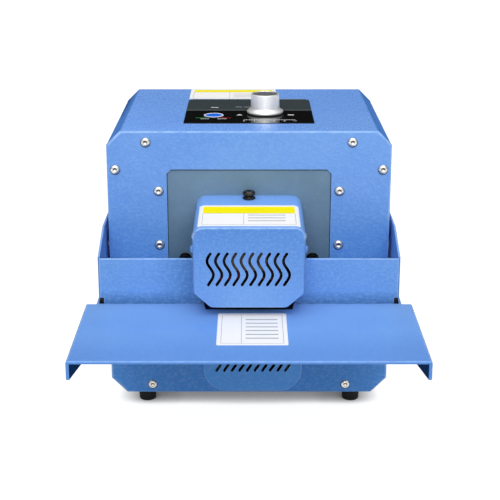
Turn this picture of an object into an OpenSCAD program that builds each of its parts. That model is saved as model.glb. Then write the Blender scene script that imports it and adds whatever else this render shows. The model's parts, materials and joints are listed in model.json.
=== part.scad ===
// Benchtop heat sealer: folded steel case, vented heater head over a work shelf, controls on top.
// Millimetres, +Z up, front towards -Y. The origin lies on the floor under the middle of the machine.

/* [Case] */
// Width of the case
case_w = 285; // [270:1:300]
// Depth of the case over its front and rear panels
case_d = 223; // [210:1:250]
// Height of the case without its feet
case_h = 282.2; // [274:0.2:300]
// Chamfer along the two upper long edges
case_top_chamfer = 14; // [11:0.5:17]
// Chamfer along the two lower long edges
case_low_chamfer = 16; // [12:0.5:18]
// Thickness of the case, shelf and guard sheet
sheet = 2; // [1.5:0.1:2.4]
// Width of the inner flanges that take the case screws
flange_w = 18; // [16:0.5:20]
// Height of the upturned sides of the base pan
base_side_h = 40; // [30:1:50]
// How far the base's side walls stand out beyond the cover [mm]
base_out = 2.2; // [1.5:0.1:2.4]
// Diameter of a rubber foot at its top
foot_d = 20; // [18:0.5:22]
// Height of a rubber foot
foot_h = 14; // [11:0.5:18]
// Distance of a foot's centre from the side of the case
foot_in_x = 34; // [28:1:40]
// Distance of a foot's centre from the front or rear panel
foot_in_y = 17; // [15:1:26]

/* [Window and head plate] */
// Width of the window in the front panel
window_w = 165.2; // [160:0.2:170]
// Distance from the window's upper edge to the top of the case
window_down = 39.2; // [36:0.2:44]
// Chamfer of the window's upper corners
window_chamfer = 4.4; // [3:0.2:6]
// How far the grey plate reaches behind the window's edges
plate_lap = 15; // [13:0.5:18]

/* [Work shelf] */
// Height of the shelf's top face above the bottom of the case
shelf_z = 122.4; // [120:0.2:126]
// Width of the shelf
shelf_w = 320.2; // [314:0.2:330]
// Thickness of the shelf's sheet [mm]
shelf_sheet = 3.2; // [2:0.1:4]
// Distance from the front panel to the shelf's front edge
shelf_reach = 197; // [175:1:215]
// Height of the side flanges at the shelf's front edge
shelf_flange_front = 18; // [12:0.5:24]
// Height of the side flanges at their rear end
shelf_flange_rear = 51; // [40:0.5:56]
// Distance from the front panel to the guard walls
guard_reach = 59.3; // [52:0.1:64]
// Height of the guard walls above the shelf
guard_h = 47; // [40:0.5:54]
// Height of the guard's side walls beside the case, above the shelf
guard_side_h = 65.4; // [58:0.2:72]
// How far the guard's side walls run back along the case
guard_back = 70; // [55:1:90]
// Gap between the guard's side walls and the case
guard_gap = 2.7; // [2.5:0.1:3.5]
// Width of the mouth cut out of the shelf under the head
mouth_w = 83.6; // [80:0.2:86]
// How far the mouth reaches in front of the guard walls
mouth_lead = 14; // [10:0.5:18]

/* [Heater head] */
// Width of the hood
hood_w = 106.4; // [104:0.2:110]
// Distance from the front panel to the hood's front
hood_reach = 92; // [88:0.5:98]
// Height of the mouth between shelf and hood
mouth_h = 8.6; // [8:0.1:12]
// Height of the hood at its front
hood_h = 79.8; // [77:0.2:82]
// How much higher the hood stands at its rear
hood_rise = 4.8; // [3:0.1:7]
// Thickness of the hood's sheet
hood_sheet = 1.5; // [1.2:0.1:1.8]
// Radius of the hood's upper corners
hood_round = 10; // [8:0.5:10.5]
// Width of the hood's lower corner chamfers
hood_cut_x = 17; // [15:0.5:18]
// Height of the hood's lower corner chamfers
hood_cut_z = 15; // [13:0.5:16]
// Number of wavy vent slots
slot_count = 10; // [6:1:10]
// Spacing of the vent slots
slot_pitch = 8; // [6.6:0.1:8.2]
// Width of a vent slot
slot_w = 2.7; // [2:0.1:3.2]
// Height of a vent slot
slot_h = 33.7; // [28:0.1:36]
// How far a slot swings to each side
slot_sway = 3; // [2:0.1:3.8]
// Height of the slots above the cover's lower edge
slot_lift = 21.9; // [20:0.1:23]
// Number of quartz heater tubes
tube_count = 3; // [2:1:3]
// Diameter of a heater tube
tube_d = 10; // [8:0.5:11]
// Diameter of the thumbscrew's head
thumb_d = 11.8; // [10:0.2:13]

/* [Cooling] */
// Sideways offset of the lower vent cover
vent_x = 4; // [0:0.5:5]
// Width of the lower vent cover
vent_w = 103; // [96:0.5:106]
// Height of the lower vent cover
vent_h = 84; // [80:0.5:86]
// Thickness of the lower vent cover
vent_t = 2.5; // [1.5:0.1:3]
// Size of the square fan frame
fan_size = 80; // [76:1:82]
// Depth of the fan
fan_depth = 25; // [22:1:28]
// Number of fan blades
blade_count = 7; // [5:1:9]

/* [Controls] */
// Width of the control overlay
overlay_w = 134; // [120:1:140]
// Depth of the control overlay
overlay_d = 124.6; // [116:0.2:128]
// Distance from the front panel to the overlay
overlay_in = 35; // [31:0.2:40]
// Sideways position of the knob
knob_x = 17; // [12:0.5:24]
// Distance from the front panel to the knob's axis
knob_y = 84; // [78:0.5:92]
// Diameter of the knob's skirt
knob_skirt_d = 38.5; // [34:0.5:42]
// Diameter of the knob's grip
knob_d = 30; // [26:0.5:32]
// Height of the knob
knob_h = 20.8; // [17:0.2:24]
// Sideways position of the button
button_x = -37; // [-44:0.1:-32]
// Distance from the front panel to the button's axis
button_y = 73.4; // [68:0.2:84]
// Diameter of the button's ring
bezel_d = 21; // [20:0.2:23]
// Diameter of the button's cap
button_d = 17; // [15:0.2:17.4]
// Travel of the button
button_travel = 1.6; // [1:0.1:2]
// Diameter of the knob's shaft
shaft_d = 6; // [5:0.1:6.4]

/* [Rear panel] */
// Sideways position of the power inlet
inlet_x = -80; // [-90:1:-72]
// Sideways position of the power switch
switch_x = -32; // [-38:1:-26]
// Sideways position of the fuse holder
fuse_x = 8; // [4:1:16]
// Height of the inlet, switch and fuse holder
rear_z = 52; // [48:1:60]
// How far the fuse holder's cap stands out
fuse_reach = 9; // [7:0.5:12]
// Number of air slots in each rear group
louvre_count = 8; // [4:1:9]

/* [Fits] */
// Gap between fixed pieces that slip into each other
fit_gap = 0.2; // [0.1:0.05:0.25]
// Radial gap of turning and sliding shafts
run_gap = 0.05; // [0.03:0.01:0.08]
// Gap under turning pieces
turn_gap = 0.4; // [0.35:0.05:0.6]

/* [Hidden] */
$fn = 48;
half = case_w / 2;
base_half = half + base_out;
foot_low_r = 0.41 * foot_d;
shelf_half = shelf_w / 2;
window_half = window_w / 2;
window_top = case_h - window_down;
window_low = shelf_z + 4;
hood_low = shelf_z + mouth_h;
hood_half = hood_w / 2;
hood_tip = atan(hood_rise / (hood_reach + sheet));
// face of the grey plate that shows through the window
plate_y0 = sheet;
plate_y1 = 2 * sheet;
guard_half = half + guard_gap + sheet;
shelf_rear_half = guard_half + 2.6;
rear_face = case_d + fuse_reach;
shift_y = (shelf_reach - rear_face) / 2;
overlay_t = 0.6;
overlay_top = case_h + overlay_t;
// screw positions
top_screw = [half - 39.5, case_h - 11];
side_screw = [half - 8.5, case_h - 39];
plate_screw_x = window_half + 8.3;
plate_screw_z = [window_top - 22.1, window_top - 78.8];
low_screw = [half - 41, 9.5];
rear_side_screw = [half - 8.5, case_h / 2 + 10];
shelf_screw_x = [64, 116];
shelf_screw_z = shelf_z - 19;
platen_screw_x = 20;
platen_screw_z = shelf_z - 20;
guard_side_screw_y = [24, guard_back - 16];
guard_side_screw_z = shelf_z + 34;
guard_foot_x = [76, 124];
guard_foot_y = -guard_reach + sheet + 8;
plate_bolt = [65, shelf_z + 26.3];
bracket_bolt_x = 38;
bracket_bolt_z = [hood_low + 31, hood_low + 61];
m5_d = 5;
m5_hole = m5_d + 2 * fit_gap;
m5_head = 9.5;
m5_head_h = 2.75;
m4_d = 4;
m4_hole = m4_d + 2 * fit_gap;
m4_head = 7.6;
m4_head_h = 2.2;
nut_h = 4;
// heater head
// share of a slot's height that one wave takes, where the wave starts, and how far right of the middle
// the hood's slots lie
slot_wave = 0.82;
slot_phase = 33;
slot_shift = -0.6;
bracket_t = 2;
arm_out = hood_half - hood_sheet - fit_gap;
arm_in = arm_out - bracket_t;
arm_low = hood_low + hood_cut_z + hood_rise + 5;
arm_top = hood_low + 67;
arm_reach = hood_reach - 12;
hood_screw_y = -hood_reach + 30;
hood_screw_z = [hood_low + 49, hood_low + 62];
thumb_y = -8;
thumb_d_shank = 5;
tab_top = hood_low + hood_h + hood_rise - hood_sheet - 2.2;
hood_top_at_thumb = hood_low + hood_h + hood_rise * (hood_reach + thumb_y) / (hood_reach + plate_y0);
reflect_half = hood_half - hood_cut_x - 0.2;
reflect_front = -hood_reach + 20;
reflect_rear = plate_y0 - bracket_t - 8;
reflect_low = hood_low + 8;
reflect_top = hood_low + 46;
holder_w = 7;
tube_z = hood_low + 17;
tube_y = [for (i = [0 : tube_count - 1])
  reflect_front + (reflect_rear - reflect_front) * (i + 0.5) / tube_count];
block_w = 34;
block_low = hood_low + 33;
block_h = 18;
block_d = 8;
lead_d = 3;
lead_y = reflect_front - block_d / 2;
lead_z = hood_low + 24;
lead_bend = 4;
lead_end_x = reflect_half - 4;
cable_d = 6;
cable_x = -8;
cable_z = hood_low + 58;
cable_bend = 12;
cable_drop_y = plate_y1 + 52;
grommet_d = 11;
probe_x = 22;
probe_z = hood_low + 31;
probe_d = 4;
slots_half = slot_pitch * (slot_count - 1) / 2 + slot_sway + slot_w;
// vent cover
vent_low = 2.4;
vent_round = 23;
vent_cut = 0.6 * vent_round;
vent_screw_z = vent_low + vent_h - 6;
// lower platen
platen_half = mouth_w / 2 - 1.8;
platen_tray_half = mouth_w / 2 + 4;
platen_top = shelf_z - 0.7;
platen_t = 8;
platen_front = -guard_reach - mouth_lead + 2;
platen_rear = -4;
cartridge_d = 6;
// fan
fan_z = sheet + 5 + fan_size / 2;
fan_y0 = sheet;
fan_bore = fan_size - 4;
fan_hub_d = 34;
fan_hole = fan_size * 0.447;
fan_shaft_d = 4;
// control board
board_x = [-115, 5];
board_y = [50, 160];
board_z = 14;
board_t = 1.6;
standoff_in = 6;
cable_post = [cable_x - 14, cable_x + 4];
cable_post_h = 12;
relay_x = board_x[0] + 7;
relay_y = [board_y[0] + 20, board_y[0] + 52];
relay_size = [26, 22, 18];
cap_x = [board_x[0] + 45, board_x[0] + 69];
cap_y = board_y[1] - 20;
cap_d = 16;
cap_h = 26;
chip_at = [board_x[0] + 43, board_y[0] + 28];
chip_size = [42, 40, 4];
choke_at = [board_x[1] - 29, board_y[1] - 42];
choke_size = [24, 24, 30];
// transformer
core_x = [half - 98.5, half - 36.5];
core_y = [72, 118];
core_h = 52;
core_limb = 8;
core_yoke = 9;
coil_over = 10;
// rear parts
inlet_w = 27.4;
inlet_h = 21.4;
switch_w = 13;
switch_h = 19.4;
rocker_half = 8;
rocker_w = 10.4;
rocker_pivot_y = case_d - 1;
rocker_tilt = 10;
rocker_pin_d = 2.4;
fuse_d = 12;

blue = "#5b86cf";
steel = "#b9bcc0";
dark = "#2b2d30";

// Moves the machine so that the origin lies under its middle, on the floor.
module place() {
  translate([0, shift_y, foot_h]) children();
}

// Thickens a drawing in X and Z from y0 backwards.
module plate_y(y0, depth) {
  translate([0, y0 + depth, 0]) rotate([90, 0, 0]) linear_extrude(depth) children();
}

// Thickens a drawing in Y and Z from x0 to the right.
module plate_x(x0, depth) {
  translate([x0, 0, 0]) rotate([90, 0, 90]) linear_extrude(depth) children();
}

module rod_x(x0, x1, y, z, d) {
  translate([x0, y, z]) rotate([0, 90, 0]) cylinder(d = d, h = x1 - x0);
}

module rod_y(x, y0, y1, z, d) {
  translate([x, y0, z]) rotate([-90, 0, 0]) cylinder(d = d, h = y1 - y0);
}

module box(x0, x1, y0, y1, z0, z1) {
  translate([x0, y0, z0]) cube([x1 - x0, y1 - y0, z1 - z0]);
}

// Button-head screw with a hex socket: head above z = 0, shank below.
module button_screw(head, head_h, d, long) {
  ball = (head * head / 4 + head_h * head_h) / (2 * head_h);
  difference() {
    union() {
      intersection() {
        translate([0, 0, head_h - ball]) sphere(r = ball);
        cylinder(d = head, h = head_h);
      }
      translate([0, 0, -long]) cylinder(d = d, h = long);
    }
    translate([0, 0, head_h * 0.35]) cylinder(d = head * 0.37, h = head_h, $fn = 6);
  }
}

module front_screw(x, y, z, long) {
  translate([x, y, z]) rotate([90, 0, 0]) button_screw(m5_head, m5_head_h, m5_d, long);
}

module hex_nut(across, bore, high) {
  difference() {
    cylinder(d = across / cos(30), h = high, $fn = 6);
    translate([0, 0, -1]) cylinder(d = bore, h = high + 2);
  }
}

module nut_y(x, y, z, across, bore) {
  translate([x, y, z]) rotate([-90, 0, 0]) hex_nut(across, bore, nut_h);
}

// Outline of the end panels in X and Z: as wide as the base below, as the cover above.
function panel_outline() = let (
    right = [[base_half - case_low_chamfer, 0], [base_half, case_low_chamfer],
      [base_half, base_side_h + sheet],
      [half, base_side_h + sheet + base_out], [half, case_h - case_top_chamfer],
      [half - case_top_chamfer, case_h]])
  concat(right, [for (k = [5 : -1 : 0]) [-right[k][0], right[k][1]]]);

// Outline of the cover in X and Z, moved inwards by d.
function case_outline(d) = let (
    w = half - d,
    t = max(0.5, case_top_chamfer - d * (2 - sqrt(2))),
    b = max(0.5, case_low_chamfer - d * (2 - sqrt(2))))
  [[-w + b, d], [w - b, d], [w, d + b], [w, case_h - d - t], [w - t, case_h - d],
   [-w + t, case_h - d], [-w, case_h - d - t], [-w, d + b]];

function unit(v) = v / norm(v);

// Points of an arc of radius r that rounds the corner b between a and c.
function corner_arc(a, b, c, r, n) = let (
    u = unit(a - b),
    v = unit(c - b),
    bend = acos(max(-1, min(1, u * v))) / 2,
    mid = b + unit(u + v) * r / sin(bend),
    p = b + u * r / tan(bend) - mid,
    q = b + v * r / tan(bend) - mid,
    a0 = atan2(p[1], p[0]),
    turn = atan2(q[1], q[0]) - a0,
    sweep = turn > 180 ? turn - 360 : turn < -180 ? turn + 360 : turn)
  [for (i = [0 : n]) mid + r * [cos(a0 + sweep * i / n), sin(a0 + sweep * i / n)]];

function rounded(pts, radii, n) = let (m = len(pts))
  [for (i = [0 : m - 1]) each corner_arc(pts[(i + m - 1) % m], pts[i], pts[(i + 1) % m], radii[i], n)];

// Outline shared by the hood and the lower vent cover.
function cover_outline(w, low, top, round, cut_x, cut_z, soft) = rounded(
  [[-w / 2 + cut_x, low], [w / 2 - cut_x, low], [w / 2, low + cut_z], [w / 2, top], [-w / 2, top],
   [-w / 2, low + cut_z]],
  [soft, soft, soft, round, round, soft], 6);

function slot_mid(u) = -slot_sway * cos(slot_phase + 360 * u / (slot_h * slot_wave));

function slot_way(u) = unit([slot_mid(u + 0.05) - slot_mid(u - 0.05), 0.1]);

function slot_side(u, angle) = let (t = slot_way(u))
  [slot_mid(u), u] + slot_w / 2 * (cos(angle) * [t[1], -t[0]] + sin(angle) * t);

// One wavy slot: up its right side, round the upper end, down its left side and round the lower end.
function slot_outline() = let (low = slot_w / 2, high = slot_h - slot_w / 2) concat(
  [for (i = [0 : 18]) slot_side(low + (high - low) * i / 18, 0)],
  [for (i = [1 : 4]) slot_side(high, 36 * i)],
  [for (i = [18 : -1 : 0]) slot_side(low + (high - low) * i / 18, 180)],
  [for (i = [1 : 4]) slot_side(low, 180 + 36 * i)]);

// Row of wavy slots standing on z = 0 and centred on x = 0.
module wavy_slots() {
  for (i = [0 : slot_count - 1])
    translate([(i - (slot_count - 1) / 2) * slot_pitch, 0]) polygon(slot_outline());
}

module base_pan() color(blue) {
  inner = base_half - case_low_chamfer - sheet * tan(22.5);
  right = [[base_half - case_low_chamfer, 0], [base_half, case_low_chamfer], [base_half, base_side_h],
    [half + fit_gap, base_side_h], [half + fit_gap, half + fit_gap - inner + sheet], [inner, sheet]];
  difference() {
    union() {
      plate_y(sheet, case_d - 2 * sheet)
        polygon(concat(right, [for (k = [5 : -1 : 0]) [-right[k][0], right[k][1]]]));
      for (s = [-1, 1], y = [sheet, case_d - 2 * sheet])
        box(s * low_screw[0] - 16, s * low_screw[0] + 16, y, y + sheet, sheet / 2, 22);
    }
    for (s = [-1, 1])
      rod_y(s * low_screw[0], -1, case_d + 1, low_screw[1], m5_hole);
    for (s = [-1, 1], y = [foot_in_y, case_d - foot_in_y])
      translate([s * (half - foot_in_x), y, -1]) cylinder(d = m4_hole, h = sheet + 2);
  }
}

module wrap_cover() color(blue) difference() {
  union() {
    plate_y(sheet, case_d - 2 * sheet) difference() {
      polygon(case_outline(0));
      polygon(case_outline(sheet));
      translate([-case_w, -1]) square([2 * case_w, case_low_chamfer + sheet + 1]);
    }
    for (y = [sheet, case_d - 2 * sheet])
      plate_y(y, sheet) difference() {
        polygon(case_outline(sheet / 2));
        polygon(case_outline(flange_w));
        translate([-case_w, -1]) square([2 * case_w, base_side_h + 3]);
      }
  }
  for (s = [-1, 1]) {
    rod_y(s * top_screw[0], 0, case_d, top_screw[1], m5_hole);
    rod_y(s * side_screw[0], 0, 3 * sheet, side_screw[1], m5_hole);
    rod_y(s * rear_side_screw[0], case_d - 3 * sheet, case_d, rear_side_screw[1], m5_hole);
  }
  for (y = guard_side_screw_y)
    rod_x(-case_w, case_w, y, guard_side_screw_z, m5_hole);
  translate([knob_x, knob_y, case_h - 2 * sheet]) cylinder(d = 9 + 2 * fit_gap, h = 3 * sheet);
  translate([button_x, button_y, case_h - 2 * sheet]) cylinder(d = bezel_d - 2 + 2 * fit_gap, h = 3 * sheet);
}

module front_panel() color(blue) difference() {
  plate_y(0, sheet) difference() {
    polygon(panel_outline());
    polygon([[-window_half, window_low], [window_half, window_low],
      [window_half, window_top - window_chamfer], [window_half - window_chamfer, window_top],
      [-window_half + window_chamfer, window_top], [-window_half, window_top - window_chamfer]]);
  }
  rod_y(vent_x, -1, sheet + 1, fan_z, fan_bore - 6);
  box(vent_x - slots_half, vent_x + slots_half, -1, sheet + 1, vent_low + slot_lift - 2,
    vent_low + slot_lift + slot_h + 2);
  for (x = [-1, 1] * fan_hole, z = [-1, 1] * fan_hole)
    rod_y(vent_x + x, -1, sheet + 1, fan_z + z, m4_hole);
  for (s = [-1, 1]) {
    rod_y(s * top_screw[0], -1, sheet + 1, top_screw[1], m5_hole);
    rod_y(s * side_screw[0], -1, sheet + 1, side_screw[1], m5_hole);
    rod_y(s * low_screw[0], -1, sheet + 1, low_screw[1], m5_hole);
    rod_y(s * platen_screw_x, -1, sheet + 1, platen_screw_z, m5_hole);
    rod_y(vent_x + s * (vent_w / 2 - 5), -1, sheet + 1, vent_screw_z, m4_hole);
    for (z = plate_screw_z)
      rod_y(s * plate_screw_x, -1, sheet + 1, z, m5_hole);
    for (x = shelf_screw_x)
      rod_y(s * x, -1, sheet + 1, shelf_screw_z, m5_hole);
  }
}

module air_slot(x, z, long, high) {
  translate([x - long / 2, z - high / 2]) square([long, high]);
  for (s = [-1, 1])
    translate([x + s * long / 2, z]) circle(d = high);
}

module rear_panel() color(blue) difference() {
  plate_y(case_d - sheet, sheet) difference() {
    polygon(panel_outline());
    translate([inlet_x - inlet_w / 2 - fit_gap, rear_z - inlet_h / 2 - fit_gap])
      square([inlet_w + 2 * fit_gap, inlet_h + 2 * fit_gap]);
    translate([switch_x - switch_w / 2 - fit_gap, rear_z - switch_h / 2 - fit_gap])
      square([switch_w + 2 * fit_gap, switch_h + 2 * fit_gap]);
    for (s = [-1, 1], i = [0 : louvre_count - 1])
      air_slot(s * 58, case_h - 130 + i * 9, 62, 4);
  }
  rod_y(fuse_x, case_d - 2 * sheet, case_d + 1, rear_z, fuse_d + 2 * fit_gap);
  for (s = [-1, 1]) {
    rod_y(s * top_screw[0], case_d - 2 * sheet, case_d + 1, top_screw[1], m5_hole);
    rod_y(s * rear_side_screw[0], case_d - 2 * sheet, case_d + 1, rear_side_screw[1], m5_hole);
    rod_y(s * low_screw[0], case_d - 2 * sheet, case_d + 1, low_screw[1], m5_hole);
  }
}

module head_plate() color("#6b87a3") difference() {
  box(-window_half - plate_lap, window_half + plate_lap, plate_y0, plate_y1,
    window_low - 10, window_top + 12);
  for (s = [-1, 1]) {
    for (z = plate_screw_z)
      rod_y(s * plate_screw_x, 0, 3 * sheet, z, m5_hole);
    for (z = bracket_bolt_z)
      rod_y(s * bracket_bolt_x, 0, 3 * sheet, z, m5_hole);
    rod_y(s * plate_bolt[0], 0, 3 * sheet, plate_bolt[1], 6 + 2 * fit_gap);
  }
  rod_y(cable_x, 0, 3 * sheet, cable_z, grommet_d + 2 * fit_gap);
  rod_y(probe_x, 0, 3 * sheet, probe_z, probe_d + 2 * fit_gap);
}

module plate_rib() color(steel) difference() {
  union() {
    box(-78, 78, plate_y1, plate_y1 + 3, plate_bolt[1] - 7, plate_bolt[1] + 7);
    box(-78, 78, plate_y1, plate_y1 + 16, plate_bolt[1] - 10, plate_bolt[1] - 7);
  }
  for (s = [-1, 1])
    rod_y(s * plate_bolt[0], 0, plate_y1 + 4, plate_bolt[1], 6 + 2 * fit_gap);
}

module rubber_feet() color("#1d1d1f") {
  for (s = [-1, 1], y = [foot_in_y, case_d - foot_in_y])
    translate([s * (half - foot_in_x), y, -foot_h]) rotate_extrude()
      polygon([[m4_hole / 2, foot_h], [m4_hole / 2, foot_h - 4], [m4_head / 2 + 0.6, foot_h - 4],
        [m4_head / 2 + 0.6, 0], [foot_low_r - 1.2, 0], [foot_low_r - 0.3, 0.4], [foot_low_r, 1.4],
        [foot_d / 2, foot_h - 1], [foot_d / 2, foot_h]]);
}

module foot_screws() color(steel) {
  for (s = [-1, 1], y = [foot_in_y, case_d - foot_in_y])
    translate([s * (half - foot_in_x), y, -4]) rotate([180, 0, 0])
      button_screw(m4_head, m4_head_h, m4_d, 4 + sheet + 4);
}

module front_screws() color(steel) {
  for (s = [-1, 1]) {
    front_screw(s * top_screw[0], 0, top_screw[1], 12);
    front_screw(s * side_screw[0], 0, side_screw[1], 12);
    front_screw(s * low_screw[0], 0, low_screw[1], 12);
    for (z = plate_screw_z)
      front_screw(s * plate_screw_x, 0, z, 12);
  }
}

module panel_nuts() color(steel) {
  for (s = [-1, 1]) {
    nut_y(s * top_screw[0], 2 * sheet, top_screw[1], 8, m5_hole);
    nut_y(s * side_screw[0], 2 * sheet, side_screw[1], 8, m5_hole);
    nut_y(s * low_screw[0], 2 * sheet, low_screw[1], 8, m5_hole);
    for (z = plate_screw_z)
      nut_y(s * plate_screw_x, 2 * sheet, z, 8, m5_hole);
    for (z = bracket_bolt_z)
      nut_y(s * bracket_bolt_x, 2 * sheet, z, 8, m5_hole);
    for (x = shelf_screw_x)
      nut_y(s * x, sheet, shelf_screw_z, 8, m5_hole);
    nut_y(s * platen_screw_x, sheet, platen_screw_z, 8, m5_hole);
    nut_y(s * plate_bolt[0], plate_y1 + 3, plate_bolt[1], 10, 6 + 2 * fit_gap);
  }
}

module rear_screws() color(steel) {
  for (s = [-1, 1], p = [top_screw, rear_side_screw, low_screw])
    translate([s * p[0], case_d, p[1]]) rotate([-90, 0, 0]) button_screw(m5_head, m5_head_h, m5_d, 10);
}

module head_bracket() color(steel) difference() {
  union() {
    box(-arm_out, arm_out, plate_y0 - bracket_t, plate_y0, arm_low, arm_top);
    box(-9, 9, plate_y0 - bracket_t, plate_y0, arm_top - 1, tab_top);
    box(-9, 9, thumb_y - 7, plate_y0, tab_top - bracket_t, tab_top);
    for (s = [-1, 1])
      box(min(s * arm_in, s * arm_out), max(s * arm_in, s * arm_out), -arm_reach, plate_y0, arm_low, arm_top);
  }
  translate([0, thumb_y, tab_top - 2 * bracket_t])
    cylinder(d = thumb_d_shank + 2 * run_gap, h = 4 * bracket_t);
  for (z = hood_screw_z)
    rod_x(-case_w, case_w, hood_screw_y, z, m4_hole);
  for (s = [-1, 1], z = bracket_bolt_z)
    rod_y(s * bracket_bolt_x, -10, 10, z, m5_hole);
  rod_y(cable_x, -10, 10, cable_z, grommet_d + 2 * fit_gap);
  rod_y(probe_x, -10, 10, probe_z, probe_d + 2 * fit_gap);
}

module socket_bolt(head, head_h, d, long) {
  difference() {
    union() {
      cylinder(d = head, h = head_h);
      translate([0, 0, -long]) cylinder(d = d, h = long);
    }
    translate([0, 0, head_h * 0.45]) cylinder(d = head * 0.55, h = head_h, $fn = 6);
  }
}

module bracket_bolts() color(dark) {
  for (s = [-1, 1], z = bracket_bolt_z)
    translate([s * bracket_bolt_x, plate_y0 - bracket_t, z]) rotate([90, 0, 0]) socket_bolt(8.5, 5, m5_d, 12);
}

module plate_bolts() color(dark) {
  for (s = [-1, 1])
    translate([s * plate_bolt[0], plate_y0, plate_bolt[1]]) rotate([90, 0, 0]) union() {
      cylinder(d = 12.4, h = 1.4);
      translate([0, 0, 1.4]) socket_bolt(10, 5.4, 6, 14);
    }
}

// Tube with the cover outline, tipped forwards so that its top falls towards the front.
module hood_shape(grow, y0) intersection() {
  translate([0, -hood_reach, hood_low]) rotate([hood_tip, 0, 0]) plate_y(-20, hood_reach + 60)
    polygon(cover_outline(hood_w - 2 * grow, grow, hood_h * cos(hood_tip) - grow, hood_round - grow,
      hood_cut_x - grow * 0.6, hood_cut_z - grow * 0.6, 7 - grow));
  box(-case_w, case_w, y0, grow > 0 ? plate_y0 + 5 : plate_y0, 0, case_h);
}

module hood() color(blue) difference() {
  hood_shape(0, -hood_reach);
  hood_shape(hood_sheet, -hood_reach + hood_sheet);
  box(-hood_half + hood_cut_x + 1, hood_half - hood_cut_x - 1, -hood_reach + 8, plate_y0 + 5,
    hood_low - 5, hood_low + hood_rise + 3);
  plate_y(-hood_reach - 1, hood_sheet + 2) translate([slot_shift, hood_low + slot_lift]) wavy_slots();
  for (z = hood_screw_z)
    rod_x(-case_w, case_w, hood_screw_y, z, m4_hole);
  translate([0, thumb_y, tab_top]) cylinder(d = thumb_d_shank + 1, h = 20);
}

module hood_screws() color(steel) {
  for (s = [-1, 1], z = hood_screw_z)
    translate([s * hood_half, hood_screw_y, z]) rotate([0, s * 90, 0])
      button_screw(m4_head, m4_head_h, m4_d, 8);
}

module hood_thumbscrew() color("#1b1b1d") {
  low = hood_top_at_thumb + turn_gap + 0.2;
  translate([0, thumb_y, 0]) union() {
    difference() {
      translate([0, 0, low]) rotate_extrude()
        polygon([[0, 0], [6.4, 0], [6.4, 0.9], [5, 1.3], [5, 2.2], [thumb_d / 2 - 0.4, 2.2],
          [thumb_d / 2, 2.6], [thumb_d / 2, 7], [thumb_d / 2 - 0.6, 7.6], [0, 7.6]]);
      for (i = [0 : 17])
        rotate([0, 0, i * 20]) translate([thumb_d / 2 + 0.25, 0, low + 1.7]) cylinder(d = 1.1, h = 10);
    }
    translate([0, 0, tab_top - 8]) cylinder(d = thumb_d_shank, h = low - tab_top + 8.5);
  }
}

module reflector() color("#6d665f") difference() {
  union() {
    box(-arm_in, arm_in, reflect_front, reflect_rear, reflect_top - 1, reflect_top);
    box(-reflect_half, reflect_half, reflect_front, reflect_rear, reflect_low, reflect_top);
  }
  box(-reflect_half + 1, reflect_half - 1, reflect_front + 1, reflect_rear - 1,
    reflect_low - 1, reflect_top - 1);
  rod_y(probe_x, reflect_rear - 3, reflect_rear + 1, probe_z, probe_d + 2 * fit_gap);
  for (s = [-1, 1])
    rod_y(s * lead_end_x, reflect_front - 1, reflect_front + 3, lead_z, lead_d + 2 * fit_gap);
}

module heater_tubes() color("#e8c9a6") {
  for (y = tube_y)
    rod_x(-reflect_half + 2, reflect_half - 2, y, tube_z, tube_d);
}

module tube_holders() color("#d9d2c4") difference() {
  for (s = [-1, 1])
    translate([s * (reflect_half - 1 - holder_w / 2), (reflect_front + reflect_rear) / 2, tube_z])
      cube([holder_w, reflect_rear - reflect_front - 6, tube_d + 5], center = true);
  for (y = tube_y)
    rod_x(-case_w, case_w, y, tube_z, tube_d + 2 * fit_gap);
}

module terminal_block() color("#8c7f72") difference() {
  box(-block_w / 2, block_w / 2, reflect_front - block_d, reflect_front, block_low, block_low + block_h);
  for (i = [-1, 0, 1])
    rod_y(i * 10.5, reflect_front - block_d - 1, reflect_front - block_d + 3, block_low + block_h / 2, 5);
}

module heater_leads() color("#7d1f1b") {
  for (s = [-1, 1]) mirror([s < 0 ? 1 : 0, 0, 0]) union() {
    translate([10, lead_y, lead_z + lead_bend]) cylinder(d = lead_d, h = block_low - lead_z - lead_bend);
    translate([10 + lead_bend, lead_y, lead_z + lead_bend]) rotate([90, 0, 0])
      rotate([0, 0, 180]) rotate_extrude(angle = 90) translate([lead_bend, 0]) circle(d = lead_d);
    rod_x(10 + lead_bend, lead_end_x - lead_bend, lead_y, lead_z, lead_d);
    translate([lead_end_x - lead_bend, lead_y + lead_bend, lead_z]) rotate([0, 0, -90])
      rotate_extrude(angle = 90) translate([lead_bend, 0]) circle(d = lead_d);
    rod_y(lead_end_x, lead_y + lead_bend, reflect_front + 2, lead_z, lead_d);
  }
}

module head_cable() color("#7d1f1b") {
  top = block_low + block_h;
  bend = cable_z - top - 1;
  drop = board_z + board_t + cable_post_h;
  translate([cable_x, 0, 0]) union() {
    translate([0, lead_y, top]) cylinder(d = cable_d, h = 1);
    translate([0, lead_y + bend, top + 1]) rotate([90, 0, -90]) rotate_extrude(angle = 90)
      translate([bend, 0]) circle(d = cable_d);
    rod_y(0, lead_y + bend, cable_drop_y - cable_bend, cable_z, cable_d);
    translate([0, cable_drop_y - cable_bend, cable_z - cable_bend]) rotate([90, 0, 90])
      rotate_extrude(angle = 90) translate([cable_bend, 0]) circle(d = cable_d);
    translate([0, cable_drop_y, drop]) cylinder(d = cable_d, h = cable_z - cable_bend - drop);
  }
}

module cable_grommet() color("#1d1d1f") difference() {
  union() {
    rod_y(cable_x, plate_y0 - bracket_t - 1.6, plate_y1 + 1.6, cable_z, grommet_d);
    rod_y(cable_x, plate_y0 - bracket_t - 1.6, plate_y0 - bracket_t, cable_z, grommet_d + 4);
    rod_y(cable_x, plate_y1, plate_y1 + 1.6, cable_z, grommet_d + 4);
  }
  rod_y(cable_x, -20, 20, cable_z, cable_d + 2 * fit_gap);
}

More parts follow.
